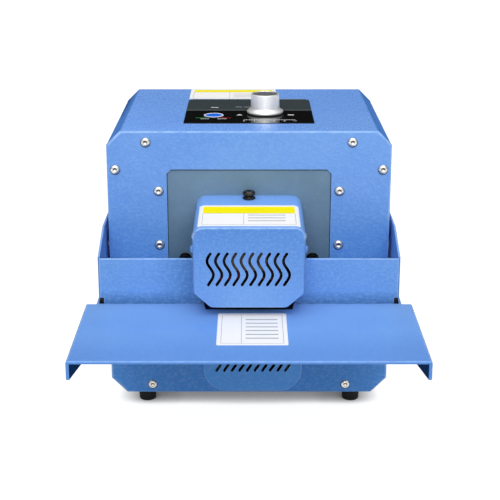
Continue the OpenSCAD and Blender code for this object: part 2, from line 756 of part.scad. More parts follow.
module temperature_probe() color(steel) {
  union() {
    rod_y(probe_x, (reflect_front + reflect_rear) / 2, plate_y1 + 14, probe_z, probe_d);
    translate([probe_x, plate_y1, probe_z]) rotate([-90, 0, 0]) cylinder(d = 9.2, h = 5, $fn = 6);
  }
}

module work_shelf() color(blue) difference() {
  union() {
    translate([0, 0, shelf_z - shelf_sheet]) linear_extrude(shelf_sheet) difference() {
      polygon([[-shelf_half, -shelf_reach], [shelf_half, -shelf_reach], [shelf_half, -guard_reach],
        [shelf_rear_half, -guard_reach], [shelf_rear_half, 0], [-shelf_rear_half, 0],
        [-shelf_rear_half, -guard_reach], [-shelf_half, -guard_reach]]);
      polygon([[-mouth_w / 2, -guard_reach - mouth_lead], [mouth_w / 2, -guard_reach - mouth_lead],
        [mouth_w / 2 + 2.7, -guard_reach + 6], [mouth_w / 2 + 2.7, 1], [-mouth_w / 2 - 2.7, 1],
        [-mouth_w / 2 - 2.7, -guard_reach + 6]]);
    }
    for (x = [-shelf_half, shelf_half - shelf_sheet])
      plate_x(x, shelf_sheet) polygon([[-shelf_reach, shelf_z - shelf_flange_front],
        [-guard_reach, shelf_z - shelf_flange_rear], [-guard_reach, shelf_z], [-shelf_reach, shelf_z]]);
    for (s = [-1, 1])
      box(s * 90 - 42, s * 90 + 42, -shelf_sheet, 0, shelf_z - 31, shelf_z);
  }
  for (s = [-1, 1]) {
    for (x = shelf_screw_x)
      rod_y(s * x, -5, 1, shelf_screw_z, m5_hole);
    for (x = guard_foot_x)
      translate([s * x, guard_foot_y, shelf_z - 5]) cylinder(d = m5_hole, h = 10);
  }
}

// Right guard: front wall, side wall beside the case and a foot flange on the shelf.
module guard() difference() {
  union() {
    plate_y(-guard_reach, sheet) polygon([[mouth_w / 2 + 9, shelf_z], [guard_half, shelf_z],
      [guard_half, shelf_z + guard_h], [hood_half + 1.6, shelf_z + guard_h],
      [hood_half + 1.6, hood_low + hood_cut_z - 0.4], [mouth_w / 2 + 2.6, hood_low + 5.6],
      [mouth_w / 2 + 2.6, shelf_z + 3.6]]);
    plate_x(guard_half - sheet, sheet) polygon([[-guard_reach, shelf_z], [guard_back, shelf_z],
      [guard_back, shelf_z + guard_side_h], [-12.9, shelf_z + guard_side_h],
      [-guard_reach, shelf_z + guard_h]]);
    box(62, guard_half - 12, -guard_reach, -guard_reach + sheet + 15, shelf_z, shelf_z + sheet);
  }
  box(guard_half - 5, guard_half + 1, -guard_reach - 1, -guard_reach + sheet + 3, shelf_z - 1, shelf_z + 6.2);
  for (y = guard_side_screw_y)
    rod_x(guard_half - 5, guard_half + 5, y, guard_side_screw_z, m5_hole);
  for (x = guard_foot_x)
    translate([x, guard_foot_y, shelf_z - 5]) cylinder(d = m5_hole, h = 10);
}

module right_guard() color(blue) {
  guard();
}

module left_guard() color(blue) {
  mirror([1, 0, 0]) guard();
}

module guard_screws() color(steel) {
  for (s = [-1, 1]) {
    for (y = guard_side_screw_y)
      translate([s * guard_half, y, guard_side_screw_z]) rotate([0, s * 90, 0])
        button_screw(m5_head, m5_head_h, m5_d, 10);
    for (x = guard_foot_x)
      translate([s * x, guard_foot_y, shelf_z + sheet]) button_screw(m5_head, m5_head_h, m5_d, 10);
  }
}

module guard_spacers() color(steel) {
  for (s = [-1, 1], y = guard_side_screw_y)
    translate([s * half, y, guard_side_screw_z]) rotate([0, s * 90, 0]) difference() {
      cylinder(d = 11, h = guard_gap);
      translate([0, 0, -1]) cylinder(d = m5_hole, h = guard_gap + 2);
    }
}

module shelf_screws() color(steel) {
  for (s = [-1, 1]) {
    for (x = shelf_screw_x)
      front_screw(s * x, -shelf_sheet, shelf_screw_z, 12);
    front_screw(s * platen_screw_x, -3, platen_screw_z, 12);
  }
}

module platen() color("#8e9194") difference() {
  box(-platen_half, platen_half, platen_front, platen_rear, platen_top - platen_t, platen_top);
  for (y = [platen_front * 0.72, platen_front * 0.32])
    rod_x(-case_w, case_w, y, platen_top - platen_t / 2, cartridge_d + fit_gap);
}

module platen_bracket() color("#1b1b1d") difference() {
  union() {
    box(-platen_tray_half, platen_tray_half, platen_front + 6, 0, platen_top - platen_t - 3,
      platen_top - platen_t);
    box(-30, 30, -3, 0, platen_screw_z - 9, platen_top - platen_t);
  }
  for (s = [-1, 1])
    rod_y(s * platen_screw_x, -5, 1, platen_screw_z, m5_hole);
}

module platen_heaters() color("#a7a39b") {
  for (y = [platen_front * 0.72, platen_front * 0.32])
    rod_x(-platen_half - 1, platen_half - 6, y, platen_top - platen_t / 2, cartridge_d);
}

module vent_cover() color(blue) difference() {
  plate_y(-vent_t, vent_t) difference() {
    translate([vent_x, vent_low])
      polygon(cover_outline(vent_w, 0, vent_h, 6, vent_cut, vent_cut, vent_round));
    translate([vent_x, vent_low + slot_lift]) wavy_slots();
  }
  for (s = [-1, 1])
    rod_y(vent_x + s * (vent_w / 2 - 5), -5, 1, vent_screw_z, m4_hole);
}

module vent_screws() color(steel) {
  for (s = [-1, 1])
    translate([vent_x + s * (vent_w / 2 - 5), -vent_t, vent_screw_z]) rotate([90, 0, 0])
      button_screw(m4_head, m4_head_h, m4_d, 10);
}

module fan_frame() color("#202225") translate([vent_x, fan_y0, fan_z]) difference() {
  union() {
    difference() {
      translate([-fan_size / 2, 0, -fan_size / 2]) cube([fan_size, fan_depth, fan_size]);
      rod_y(0, -1, fan_depth + 1, 0, fan_bore);
    }
    rod_y(0, fan_depth - 5, fan_depth, 0, fan_hub_d);
    for (a = [45 : 90 : 315])
      rotate([0, a, 0]) translate([fan_hub_d / 2 - 1, fan_depth - 4, -2])
        cube([fan_bore / 2 - fan_hub_d / 2 + 3, 4, 4]);
  }
  rod_y(0, fan_depth - 10, fan_depth + 1, 0, fan_shaft_d + 2 * run_gap);
  for (x = [-1, 1] * fan_hole, z = [-1, 1] * fan_hole)
    rod_y(x, -1, fan_depth + 1, z, m4_hole);
}

module fan_rotor() color("#2c2f33") translate([vent_x, fan_y0, fan_z]) {
  union() {
    rod_y(0, 3, fan_depth - 6, 0, fan_hub_d);
    rod_y(0, fan_depth - 7, fan_depth - 0.5, 0, fan_shaft_d);
    intersection() {
      rod_y(0, 2, fan_depth - 5.5, 0, fan_bore - 2.4);
      for (i = [0 : blade_count - 1])
        rotate([0, i * 360 / blade_count, 0]) translate([fan_hub_d / 2 - 2, (fan_depth - 3) / 2, 0])
          rotate([38, 0, 0]) translate([0, -0.8, -11]) cube([fan_bore / 2, 1.6, 22]);
    }
  }
}

module fan_screws() color(steel) {
  for (x = [-1, 1] * fan_hole, z = [-1, 1] * fan_hole)
    translate([vent_x + x, fan_y0 + fan_depth, fan_z + z]) rotate([-90, 0, 0])
      button_screw(m4_head, m4_head_h, m4_d, fan_depth + sheet - 0.2);
}

module control_overlay() color("#16181b") difference() {
  translate([0, overlay_in, case_h]) linear_extrude(overlay_t)
    polygon(rounded([[-overlay_w / 2, 0], [overlay_w / 2, 0], [overlay_w / 2, overlay_d],
      [-overlay_w / 2, overlay_d]], [2, 2, 9, 9], 6));
  translate([knob_x, knob_y, case_h - 1]) cylinder(d = 9 + 2 * fit_gap, h = 3);
  translate([button_x, button_y, case_h - 1]) cylinder(d = bezel_d - 2 + 2 * fit_gap, h = 3);
}

module control_knob() color("#c4c7cb") translate([knob_x, knob_y, overlay_top + turn_gap]) difference() {
  rotate_extrude()
    polygon([[shaft_d / 2 + 0.02, 5], [9.5, 5], [9.5, 0], [knob_skirt_d / 2, 0], [knob_skirt_d / 2, 1.2],
      [knob_skirt_d / 2 - 0.8, 2.2], [knob_d / 2 + 0.8, 2.8], [knob_d / 2, 3.6],
      [knob_d / 2 - 0.5, knob_h - 0.7],
      [knob_d / 2 - 1.2, knob_h], [knob_d / 2 - 2.2, knob_h], [knob_d / 2 - 2.6, knob_h - 0.5],
      [0, knob_h - 0.5], [0, knob_h - 3], [shaft_d / 2 + 0.02, knob_h - 3]]);
  rod_y(0, 0, knob_d, 8.5, 3 + 2 * run_gap);
}

module knob_grub_screw() color(dark) translate([knob_x, knob_y, overlay_top + turn_gap]) difference() {
  rod_y(0, shaft_d / 2, shaft_d / 2 + 7, 8.5, 3);
  rod_y(0, shaft_d / 2 + 5, shaft_d / 2 + 9, 8.5, 1.5);
}

module potentiometer() color("#3b6f5a") translate([knob_x, knob_y, 0]) difference() {
  union() {
    translate([0, 0, case_h - sheet - 11]) cylinder(d = 24, h = 11);
    translate([0, 0, case_h - sheet - 1]) cylinder(d = 9, h = sheet + overlay_t + 4.2);
  }
  translate([0, 0, case_h - sheet - 9]) cylinder(d = shaft_d + 2 * run_gap, h = 40);
}

module pot_shaft() color(steel) translate([knob_x, knob_y, 0]) {
  translate([0, 0, case_h - sheet - 8.6]) cylinder(d = shaft_d,
    h = sheet + 8.6 + overlay_t + turn_gap + knob_h - 3.4);
}

module pot_nut() color(steel) translate([knob_x, knob_y, overlay_top]) {
  hex_nut(12, 9 + 2 * run_gap, 2.4);
}

module button_bezel() color("#d6dade") translate([button_x, button_y, 0]) difference() {
  union() {
    translate([0, 0, overlay_top]) cylinder(d1 = bezel_d, d2 = bezel_d - 0.8, h = 1);
    translate([0, 0, case_h - 14]) cylinder(d = bezel_d - 2, h = 14 + overlay_t + 0.5);
  }
  translate([0, 0, case_h - 20]) cylinder(d = button_d + 0.6, h = 40);
}

module start_button() color("#2f6fd0") translate([button_x, button_y, 0]) {
  union() {
    translate([0, 0, case_h - 8]) cylinder(d = button_d, h = 8 + overlay_t + 0.8);
    translate([0, 0, overlay_top + 0.8]) cylinder(d1 = button_d, d2 = button_d - 1.2, h = 0.5);
    translate([0, 0, case_h - 20]) cylinder(d = 6, h = 13);
  }
}

module button_switch() color("#26282b") translate([button_x, button_y, 0]) difference() {
  translate([0, 0, case_h - 32]) cylinder(d = bezel_d - 2, h = 18);
  translate([0, 0, case_h - 24]) cylinder(d = 6 + 2 * run_gap, h = 20);
}

module control_board() color("#2f6b3d") difference() {
  box(board_x[0], board_x[1], board_y[0], board_y[1], board_z, board_z + board_t);
  for (x = board_x, y = board_y)
    translate([x + (x == board_x[0] ? 1 : -1) * standoff_in, y + (y == board_y[0] ? 1 : -1) * standoff_in, 0])
      cylinder(d = 3.4, h = 30);
}

module board_part(at, size) {
  translate([at[0], at[1], board_z + board_t]) cube(size);
}

module board_parts() color("#3a3d41") {
  z = board_z + board_t;
  difference() {
    box(cable_post[0], cable_post[1], cable_drop_y - 6, cable_drop_y + 6, z, z + cable_post_h);
    for (i = [-1, 1])
      rod_y((cable_post[0] + cable_post[1]) / 2 + i * 4.5, cable_drop_y - 7, cable_drop_y - 3, z + 6, 4);
  }
  for (y = relay_y)
    board_part([relay_x, y], relay_size);
  for (x = cap_x)
    translate([x, cap_y, z]) cylinder(d = cap_d, h = cap_h);
  board_part(chip_at, chip_size);
  board_part(choke_at, choke_size);
}

module board_standoffs() color("#c9a64b") {
  for (x = board_x, y = board_y)
    translate([x + (x == board_x[0] ? 1 : -1) * standoff_in,
      y + (y == board_y[0] ? 1 : -1) * standoff_in, sheet])
      union() {
        cylinder(d = 6, h = board_z - sheet);
        cylinder(d = 3, h = board_z - sheet + board_t + 1);
      }
}

module transformer_core() color("#6f7276") difference() {
  box(core_x[0], core_x[1], core_y[0], core_y[1], sheet, sheet + core_h);
  box(core_x[0] + core_limb - fit_gap, core_x[1] - core_limb + fit_gap, core_y[0] - 1, core_y[1] + 1,
    sheet + core_yoke, sheet + core_h - core_yoke);
}

module transformer_winding() color("#b0763a") {
  box(core_x[0] + core_limb, core_x[1] - core_limb, core_y[0] - coil_over, core_y[1] + coil_over,
    sheet + core_yoke, sheet + core_h - core_yoke - fit_gap);
}

module power_inlet() color("#1c1d20") translate([inlet_x, case_d, rear_z]) difference() {
  union() {
    box(-inlet_w / 2, inlet_w / 2, -26, 1, -inlet_h / 2, inlet_h / 2);
    box(-25, 25, 0, 3, -13.5, 13.5);
  }
  plate_y(-17, 25)
    polygon([[-12.2, 8.2], [12.2, 8.2], [12.2, -4.4], [8.2, -8.2], [-8.2, -8.2], [-12.2, -4.4]]);
}

module inlet_pins() color("#c8c5b8") translate([inlet_x, case_d, rear_z]) {
  for (p = [[-7, -2], [0, 2], [7, -2]])
    box(p[0] - 1, p[0] + 1, -17, -4, p[1] - 2, p[1] + 2);
}

module rocker_housing() color("#1c1d20") translate([switch_x, case_d, rear_z]) difference() {
  union() {
    box(-switch_w / 2, switch_w / 2, -18, 1, -switch_h / 2, switch_h / 2);
    box(-switch_w / 2 - 1.2, switch_w / 2 + 1.2, 0, 1.8, -switch_h / 2 - 1, switch_h / 2 + 1);
  }
  box(-rocker_w / 2 - turn_gap, rocker_w / 2 + turn_gap, -11, 5, -rocker_half - 1.1, rocker_half + 1.1);
  rod_x(-switch_w / 2 + 0.3, switch_w / 2 - 0.3, rocker_pivot_y - case_d, 0, rocker_pin_d + 2 * run_gap);
}

module power_rocker() color("#8e1f22") translate([switch_x, rocker_pivot_y, rear_z])
  rotate([rocker_tilt, 0, 0]) {
  union() {
    plate_x(-rocker_w / 2, rocker_w) polygon([[3, -rocker_half], [3, -rocker_half + 1], [2, 0],
      [3, rocker_half - 1], [3, rocker_half], [-1, rocker_half], [-6, 2], [-6, -2], [-1, -rocker_half]]);
    rod_x(-switch_w / 2 + 0.5, switch_w / 2 - 0.5, 0, 0, rocker_pin_d);
  }
}

module fuse_holder() color("#1c1d20") translate([fuse_x, case_d, rear_z]) difference() {
  union() {
    rod_y(0, -34, 0.5, 0, fuse_d);
    rod_y(0, 0, 2.4, 0, fuse_d + 5);
    rod_y(0, 0, fuse_reach, 0, fuse_d + 1);
  }
  box(-fuse_d, fuse_d, fuse_reach - 2, fuse_reach + 1, -0.8, 0.8);
}

place() base_pan();
place() wrap_cover();
place() front_panel();
place() rear_panel();
place() head_plate();
place() plate_rib();
place() rubber_feet();
place() foot_screws();
place() front_screws();
place() panel_nuts();
place() rear_screws();
place() head_bracket();
place() bracket_bolts();
place() plate_bolts();
place() hood();
place() hood_screws();
place() hood_thumbscrew();
place() reflector();
place() heater_tubes();
place() tube_holders();
place() terminal_block();
place() heater_leads();
place() head_cable();
place() cable_grommet();
place() temperature_probe();
place() work_shelf();
place() left_guard();
place() right_guard();
place() guard_screws();
place() guard_spacers();
place() shelf_screws();
place() platen();
place() platen_bracket();
place() platen_heaters();
place() vent_cover();
place() vent_screws();
place() fan_frame();
place() fan_rotor();
place() fan_screws();
place() control_overlay();
place() control_knob();
place() knob_grub_screw();
place() potentiometer();
place() pot_shaft();
place() pot_nut();
place() button_bezel();
place() start_button();
place() button_switch();
place() control_board();
place() board_parts();
place() board_standoffs();
place() transformer_core();
place() transformer_winding();
place() power_inlet();
place() inlet_pins();
place() rocker_housing();
place() power_rocker();
place() fuse_holder();
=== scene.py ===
import json
import math

import bmesh
import bpy
from mathutils import Matrix, Vector
from mathutils.bvhtree import BVHTree


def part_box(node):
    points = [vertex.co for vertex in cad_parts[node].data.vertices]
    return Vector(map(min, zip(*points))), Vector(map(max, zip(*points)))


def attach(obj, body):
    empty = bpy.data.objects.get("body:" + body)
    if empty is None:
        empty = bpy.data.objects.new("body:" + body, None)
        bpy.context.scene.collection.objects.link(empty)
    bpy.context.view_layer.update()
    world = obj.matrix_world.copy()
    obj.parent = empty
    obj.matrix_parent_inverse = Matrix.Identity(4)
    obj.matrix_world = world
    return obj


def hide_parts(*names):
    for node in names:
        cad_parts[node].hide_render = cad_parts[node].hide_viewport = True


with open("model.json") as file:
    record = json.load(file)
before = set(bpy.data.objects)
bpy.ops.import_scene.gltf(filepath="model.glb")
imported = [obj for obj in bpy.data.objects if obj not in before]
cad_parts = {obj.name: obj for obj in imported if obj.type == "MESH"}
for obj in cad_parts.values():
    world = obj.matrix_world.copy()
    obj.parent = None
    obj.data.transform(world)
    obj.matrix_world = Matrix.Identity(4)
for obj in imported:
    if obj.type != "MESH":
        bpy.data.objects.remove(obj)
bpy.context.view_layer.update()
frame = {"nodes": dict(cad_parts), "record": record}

MM = 0.001
UP = Vector((0.0, 0.0, 1.0))

# Camera: the photograph's frame, the focal length in its pixels and where the lens stood.
PHOTO_SIZE = 500
FOCAL_PIXELS = 1186.5
SENSOR = 36.0
CAMERA_PLACE = Vector((0.0, -1.1659, 0.5585))
CAMERA_PITCH = math.radians(16.2)
CENTRE_COLUMN = 249.0
CENTRE_ROW = 200.45

# Light levels: a colour renders about as it is written.
SKY_LIGHT = 0.47
SKY_SIDES = 0.3
SKY_ASIDE = (0.3, 0.95)
SKY_HORIZON = 0.01
SKY_FRONT = 0.6
SKY_FADE = (0.2, 0.7)
KEY_LIGHT = 1.33
TOP_LIGHT = 1.22

# Floor: its size, how white it is as light and as seen, its glow, and the reach and limits of its shadow.
FLOOR_FAR = 14.0
FLOOR_WHITE = 0.75
FLOOR_SEEN = 0.2
FLOOR_GLOW = 0.955
FLOOR_NEAR = 30 * MM
FLOOR_HIDDEN = 0.11
FLOOR_OPEN = 0.6

# Edge radii of the sheet pieces.
FOLD_RADIUS = 2.4 * MM
CUT_RADIUS = 0.7 * MM
PANEL_RADIUS = 1.9 * MM
SHELF_RADIUS = 1.1 * MM
HOOD_RADIUS = 1.4 * MM
VENT_RADIUS = 1.2 * MM
GUARD_RADIUS = 1.25 * MM
FINE_RADIUS = 0.25 * MM
BLOCK_RADIUS = 0.4 * MM
FILM_RADIUS = 0.12 * MM

# Limits for meshes: points to weld, nearly flat and sharp angles, a start off a face, and no length.
WELD = 0.002 * MM
FLAT_ANGLE = math.radians(0.5)
SHARP_ANGLE = math.radians(28.0)
OFF_FACE = 0.01 * MM
NO_LENGTH = 1e-7

# How much the hood's roof rises from its front to its rear, and the width of the case's upper chamfers.
HOOD_RISE = 4.8 * MM
TOP_CHAMFER = 14 * MM

# How far the grey plate reaches past the window's sides and its top.
PLATE_LAP = 15 * MM
PLATE_LAP_TOP = 12 * MM

# Colours, written as they look on a screen.
BLUE = (0.412, 0.613, 0.908)
BLUE_PALE = (0.458, 0.652, 0.925)
# Pale tone of grain and specks, and of the painted highlight on rounded edges.
BLUE_EDGE = (0.640, 0.785, 0.975)
# Painted shade in hollows, slots and hex sockets.
HOLLOW_SHADE = (0.045, 0.043, 0.042)
# Painted light on the hood's roof.
BLUE_ROOF_LIT = (0.480, 0.672, 0.950)
# A lighter copy of the case blue for the cover: painted light.
BLUE_COVER_LIT = (0.466, 0.660, 0.968)
BLUE_COVER_LIT_PALE = (0.490, 0.682, 0.980)
# A lighter copy of the case blue for the hood: painted light from the shelf below.
BLUE_HOOD_LIT = (0.432, 0.623, 0.880)
BLUE_SHADE = (0.348, 0.560, 0.845)
# Painted shade on the front panel's middle.
BLUE_MIDDLE_SHADE = (0.285, 0.580, 0.855)
# Painted shade low on the guards, near the shelf.
BLUE_CORNER_SHADE = (0.262, 0.450, 0.650)
# A shaded copy of the case blue for the guards: painted shade.
BLUE_GUARD_SHADED = (0.416, 0.615, 0.865)
# Painted shade along folds, chamfers and rims that turn away from the light.
BLUE_FOLD_SHADE = (0.250, 0.440, 0.720)
# Painted shadow of the hood on the left guard.
BLUE_BESIDE_HOOD_SHADOW = (0.358, 0.557, 0.777)
# Painted shade under the shelf, on the inner faces of its side flanges.
BLUE_UNDER_SHADE = (0.060, 0.230, 0.430)
# Painted shade on the front panel behind the shelf.
BLUE_LOW_SHADE = (0.300, 0.572, 0.885)
# A shaded copy of the case blue for the vent cover under the shelf: painted shade.
BLUE_VENT_SHADED = (0.340, 0.646, 0.960)
BLUE_VENT_SHADED_PALE = (0.378, 0.662, 0.975)
SHELF_FRONT = (0.395, 0.588, 0.882)
SHELF_REAR = (0.478, 0.655, 0.895)
# Pale tone of the shelf's grain and specks, and of the painted highlight on its rounded edges.
SHELF_EDGE = (0.560, 0.725, 0.950)
# Painted shade on the shelf's front face.
SHELF_FACE_SHADE = (0.320, 0.550, 0.855)
SLATE = (0.456, 0.571, 0.660)
# Painted shade low on the plate.
SLATE_LOW_SHADE = (0.351, 0.462, 0.526)
# Painted shadow along the window's edge.
SLATE_WINDOW_SHADOW = (0.170, 0.250, 0.290)
SLATE_FLECK = (0.66, 0.74, 0.80)


def linear(color):
    """Linear light of a screen colour, with full opacity."""
    return tuple(c / 12.92 if c <= 0.04045 else ((c + 0.055) / 1.055) ** 2.4 for c in color) + (1.0,)


# Node trees and materials


class NodeTree:
    """A node tree whose nodes get their settings and inputs by name."""

    def __init__(self, tree):
        self.tree = tree

    def feed(self, socket, value):
        """Links an input to a socket or sets it to a plain value."""
        if isinstance(value, bpy.types.NodeSocket):
            self.tree.links.new(value, socket)
        else:
            socket.default_value = value

    def node(self, kind, settings=None, **inputs):
        node = self.tree.nodes.new(kind)
        for key, value in (settings or {}).items():
            setattr(node, key, value)
        for name, value in inputs.items():
            self.feed(node.inputs[name.replace("_", " ")], value)
        return node

    def math(self, operation, *values):
        """Result of a calculation with values or sockets."""
        node = self.node("ShaderNodeMath", {"operation": operation})
        for socket, value in zip(node.inputs, values):
            self.feed(socket, value)
        return node.outputs[0]

    def span(self, value, low, high, start=0.35, end=0.65):
        """value mapped from start..end to low..high and kept inside."""
        return self.node("ShaderNodeMapRange", Value=value, From_Min=start, From_Max=end, To_Min=low,
                         To_Max=high).outputs["Result"]


finish = {}


class Finish(NodeTree):
    """A procedural material whose nodes read Object coordinates."""

    def __init__(self, name, metallic=0.0, **sockets):
        self.name = name
        self.material = bpy.data.materials.new(name)
        self.material.use_nodes = True
        super().__init__(self.material.node_tree)
        self.shader = self.tree.nodes["Principled BSDF"]
        self.place = self.node("ShaderNodeTexCoord").outputs["Object"]
        for socket, value in dict(sockets, Metallic=metallic).items():
            self.shader.inputs[socket.replace("_", " ")].default_value = value

    def moved(self, **change):
        """Object coordinates shifted by Location or stretched by Scale."""
        return self.node("ShaderNodeMapping", Vector=self.place, **change).outputs["Vector"]

    def noise(self, scale, detail=2.0, roughness=0.5, stretch=None):
        place = self.moved(Scale=stretch) if stretch else self.place
        return self.node("ShaderNodeTexNoise", Vector=place, Scale=scale, Detail=detail,
                         Roughness=roughness).outputs[0]

    def waves(self, scale, axis, distortion=0.0, detail=0.0, place=None):
        """Bands that follow each other along an axis."""
        settings = {"bands_direction": axis}
        return self.node("ShaderNodeTexWave", settings, Vector=place or self.place, Scale=scale,
                         Distortion=distortion, Detail=detail).outputs["Fac"]

    def times(self, a, b):
        return self.math("MULTIPLY", a, b)

    def plus(self, a, b):
        return self.math("ADD", a, b)

    def blend(self, factor, a, b):
        """Colour between a and b."""
        node = self.node("ShaderNodeMix", {"data_type": "RGBA"})
        for index, value in ((0, factor), (6, a), (7, b)):
            self.feed(node.inputs[index], linear(value) if isinstance(value, tuple) else value)
        return node.outputs[2]

    def axis(self, letter):
        """One of the piece's own coordinates, in metres."""
        return self.node("ShaderNodeSeparateXYZ", Vector=self.place).outputs[letter]

    def mark(self, name):
        """A value stored on the piece's faces."""
        return self.node("ShaderNodeAttribute", {"attribute_name": name}).outputs["Fac"]

    def close(self, color, sheen, height, depth, strength=0.5):
        """Joins colour, roughness and relief, its depth in millimetres, and keeps the finish."""
        bump = self.node("ShaderNodeBump", Strength=strength, Distance=depth * MM, Height=height)
        links = {"Base Color": color, "Roughness": sheen, "Normal": bump.outputs["Normal"]}
        for socket, value in links.items():
            self.feed(self.shader.inputs[socket], value)
        finish[self.name] = self.material


def powder_coat(name, color, pale, edge, *layers, over=(), gloss=0.22, sheen=(0.36, 0.48), leather=0.2,
                relief=0.8, dull=None):
    """Glossy powder coat with orange peel, slow drift in its colour and paler edges of wear and painted
    highlight.

    Each of layers and over is a pair of mask and tone; over lies on the paler edges too. leather says how
    much its grain shows, and dull is a mask of where it doesn't shine.
    """
    coat = Finish(name, Specular_IOR_Level=gloss)
    mottle = coat.noise(420.0, 2.0, 0.5, (0.75, 1.0, 1.0))
    peel = coat.noise(620.0, 1.5, 0.45)
    speck = coat.noise(2400.0, 1.0)
    body = coat.blend(coat.span(coat.noise(9.0, 3.0), 0.0, 1.0), color, pale)
    for mask, tone in layers:
        body = coat.blend(mask(coat), body, tone)
    # Paler rounded edges: partly wear, partly painted highlight.
    edge_wear_and_highlight = coat.times(coat.mark("edge"), coat.span(coat.noise(140.0, 3.0), 0.25, 0.7))
    grain = coat.span(mottle, 0.0, leather, 0.44, 0.7)
    dots = coat.span(speck, 0.0, 0.10, 0.55, 0.75)
    for share in (grain, dots, edge_wear_and_highlight):
        body = coat.blend(share, body, edge)
    for mask, tone in over:
        body = coat.blend(mask(coat), body, tone)
    if dull:
        coat.feed(coat.shader.inputs["Specular IOR Level"], coat.span(dull(coat), gloss, 0.0, 0.0, 0.5))
    height = coat.plus(coat.plus(peel, coat.times(speck, 0.25)), coat.times(mottle, 14.0 * leather))
    # Faces marked as inside get painted shade.
    coat.close(coat.blend(coat.mark("inside"), body, HOLLOW_SHADE), coat.span(peel, *sheen), height, 0.2, relief)


def fading(letter, start, end, most=1.0):
    """Mask that falls from most to nothing between two places along an axis."""
    return lambda coat: coat.span(coat.axis(letter), most, 0.0, start, end)


def aside(start, end):
    """Mask that rises from nothing to all between two distances from the middle plane."""
    return lambda coat: coat.span(coat.math("ABSOLUTE", coat.axis("X")), 0.0, 1.0, start, end)


def all_masks(*masks):
    """Mask that is strong where every one of the masks is."""
    def mask(coat):
        value = 1.0
        for part in masks:
            value = coat.times(value, part(coat))
        return value
    return mask


def satin_plate(name, color, dark):
    """Satin paint on the plate behind the window, with painted shade low down and a painted shadow along the
    window's edge.
    """
    coat = Finish(name, Specular_IOR_Level=0.25)
    low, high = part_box("head_plate")
    top = high.z - PLATE_LAP_TOP
    side = high.x - PLATE_LAP
    # Painted shade towards the bottom, with random blotches.
    low_shade_and_mottle = coat.plus(coat.span(coat.axis("Z"), 0.9, 0.0, low.z, high.z - 15 * MM),
                      coat.span(coat.noise(22.0, 4.0, 0.6), -0.15, 0.25))
    # Painted shadow of the window's edge on the plate.
    rim = coat.math("MAXIMUM", coat.span(coat.axis("Z"), 0.0, 0.8, top - 1.8 * MM, top - 1.1 * MM),
                    coat.times(aside(side - 1.2 * MM, side - 0.6 * MM)(coat), 0.8))
    body = coat.blend(rim, coat.blend(low_shade_and_mottle, color, dark), SLATE_WINDOW_SHADOW)
    body = coat.blend(coat.span(coat.noise(420.0, 1.0), 0.0, 0.2, 0.68, 0.8), body, SLATE_FLECK)
    grain = coat.noise(900.0, 2.0)
    coat.close(body, coat.span(grain, 0.42, 0.56), grain, 0.06)


def brushed_metal(name, color, dark, roughness, smudge=0.1, metallic=1.0):
    """Metal with a fine grain and smudges, and painted shade where it is marked as inside."""
    metal = Finish(name, metallic)
    grain = metal.noise(1800.0, 2.0, 0.6)
    cloud = metal.noise(70.0, 3.0)
    body = metal.blend(metal.span(cloud, 0.0, 1.0), color, dark)
    sheen = metal.plus(metal.span(grain, roughness - 0.05, roughness + 0.05),
                       metal.span(cloud, 0.0, smudge, 0.5, 0.7))
    metal.close(metal.blend(metal.mark("inside"), body, HOLLOW_SHADE), sheen, grain, 0.02)


def moulded(name, color, pale, roughness, grain_scale=1500.0, relief=0.03, **sockets):
    """Moulded plastic or rubber with a fine grain and faint scuffs."""
    stuff = Finish(name, **sockets)
    grain = stuff.noise(grain_scale, 2.0)
    scuff = stuff.noise(90.0, 4.0, 0.65)
    sheen = stuff.plus(stuff.span(grain, roughness - 0.04, roughness + 0.04),
                       stuff.span(scuff, 0.0, 0.12, 0.5, 0.7))
    stuff.close(stuff.blend(stuff.span(scuff, 0.0, 1.0, 0.45, 0.75), color, pale), sheen, grain, relief)


def printed_overlay(name, split_y, rear_y):
    """Control film: black before split_y, dark grey behind a paler line, a pale border at rear_y."""
    film = Finish(name, Specular_IOR_Level=0.5)
    grain = film.noise(2600.0, 2.0)
    rear = film.span(film.axis("Y"), 0.0, 1.0, split_y - 0.1 * MM, split_y + 0.1 * MM)
    beyond = film.span(film.axis("Y"), 1.0, 0.0, split_y + 3.8 * MM, split_y + 4.2 * MM)
    border = film.span(film.axis("Y"), 0.0, 1.0, rear_y - 1.5 * MM, rear_y - 1.3 * MM)
    dust = film.span(film.noise(260.0, 4.0, 0.7), 0.0, 0.012, 0.55, 0.75)
    body = film.blend(rear, (0.020, 0.021, 0.024), (0.225, 0.260, 0.272))
    for share, tone in ((film.times(rear, beyond), (0.38, 0.41, 0.42)), (border, (0.74, 0.77, 0.80)),
                        (dust, (0.45, 0.47, 0.48))):
        body = film.blend(share, body, tone)
    film.close(body, film.span(grain, 0.12, 0.18), grain, 0.015, 0.4)


def turned_aluminium(name, centre, color, dark, metallic):
    """Satin aluminium with fine turning rings round a vertical axis."""
    metal = Finish(name, metallic)
    rings = metal.waves(900.0, "Z", 0.6, 2.0, metal.moved(Location=tuple(-c for c in centre)))
    body = metal.blend(metal.span(metal.noise(120.0, 3.0), 0.0, 1.0), color, dark)
    metal.close(body, metal.span(rings, 0.26, 0.36, 0.2, 0.8), rings, 0.012)


def heated_steel(name):
    """Sheet steel tinted brown and blue by heat."""
    metal = Finish(name, 1.0)
    grain = metal.noise(1500.0, 2.0, 0.5, (1.0, 0.15, 1.0))
    heat = metal.span(metal.noise(26.0, 4.0, 0.6), 0.0, 1.0)
    tint = metal.blend(heat, (0.29, 0.262, 0.24), (0.21, 0.195, 0.195))
    body = metal.blend(metal.span(metal.noise(60.0, 3.0), 0.0, 0.5, 0.5, 0.7), tint, (0.18, 0.195, 0.24))
    metal.close(body, metal.span(grain, 0.38, 0.55), grain, 0.03)


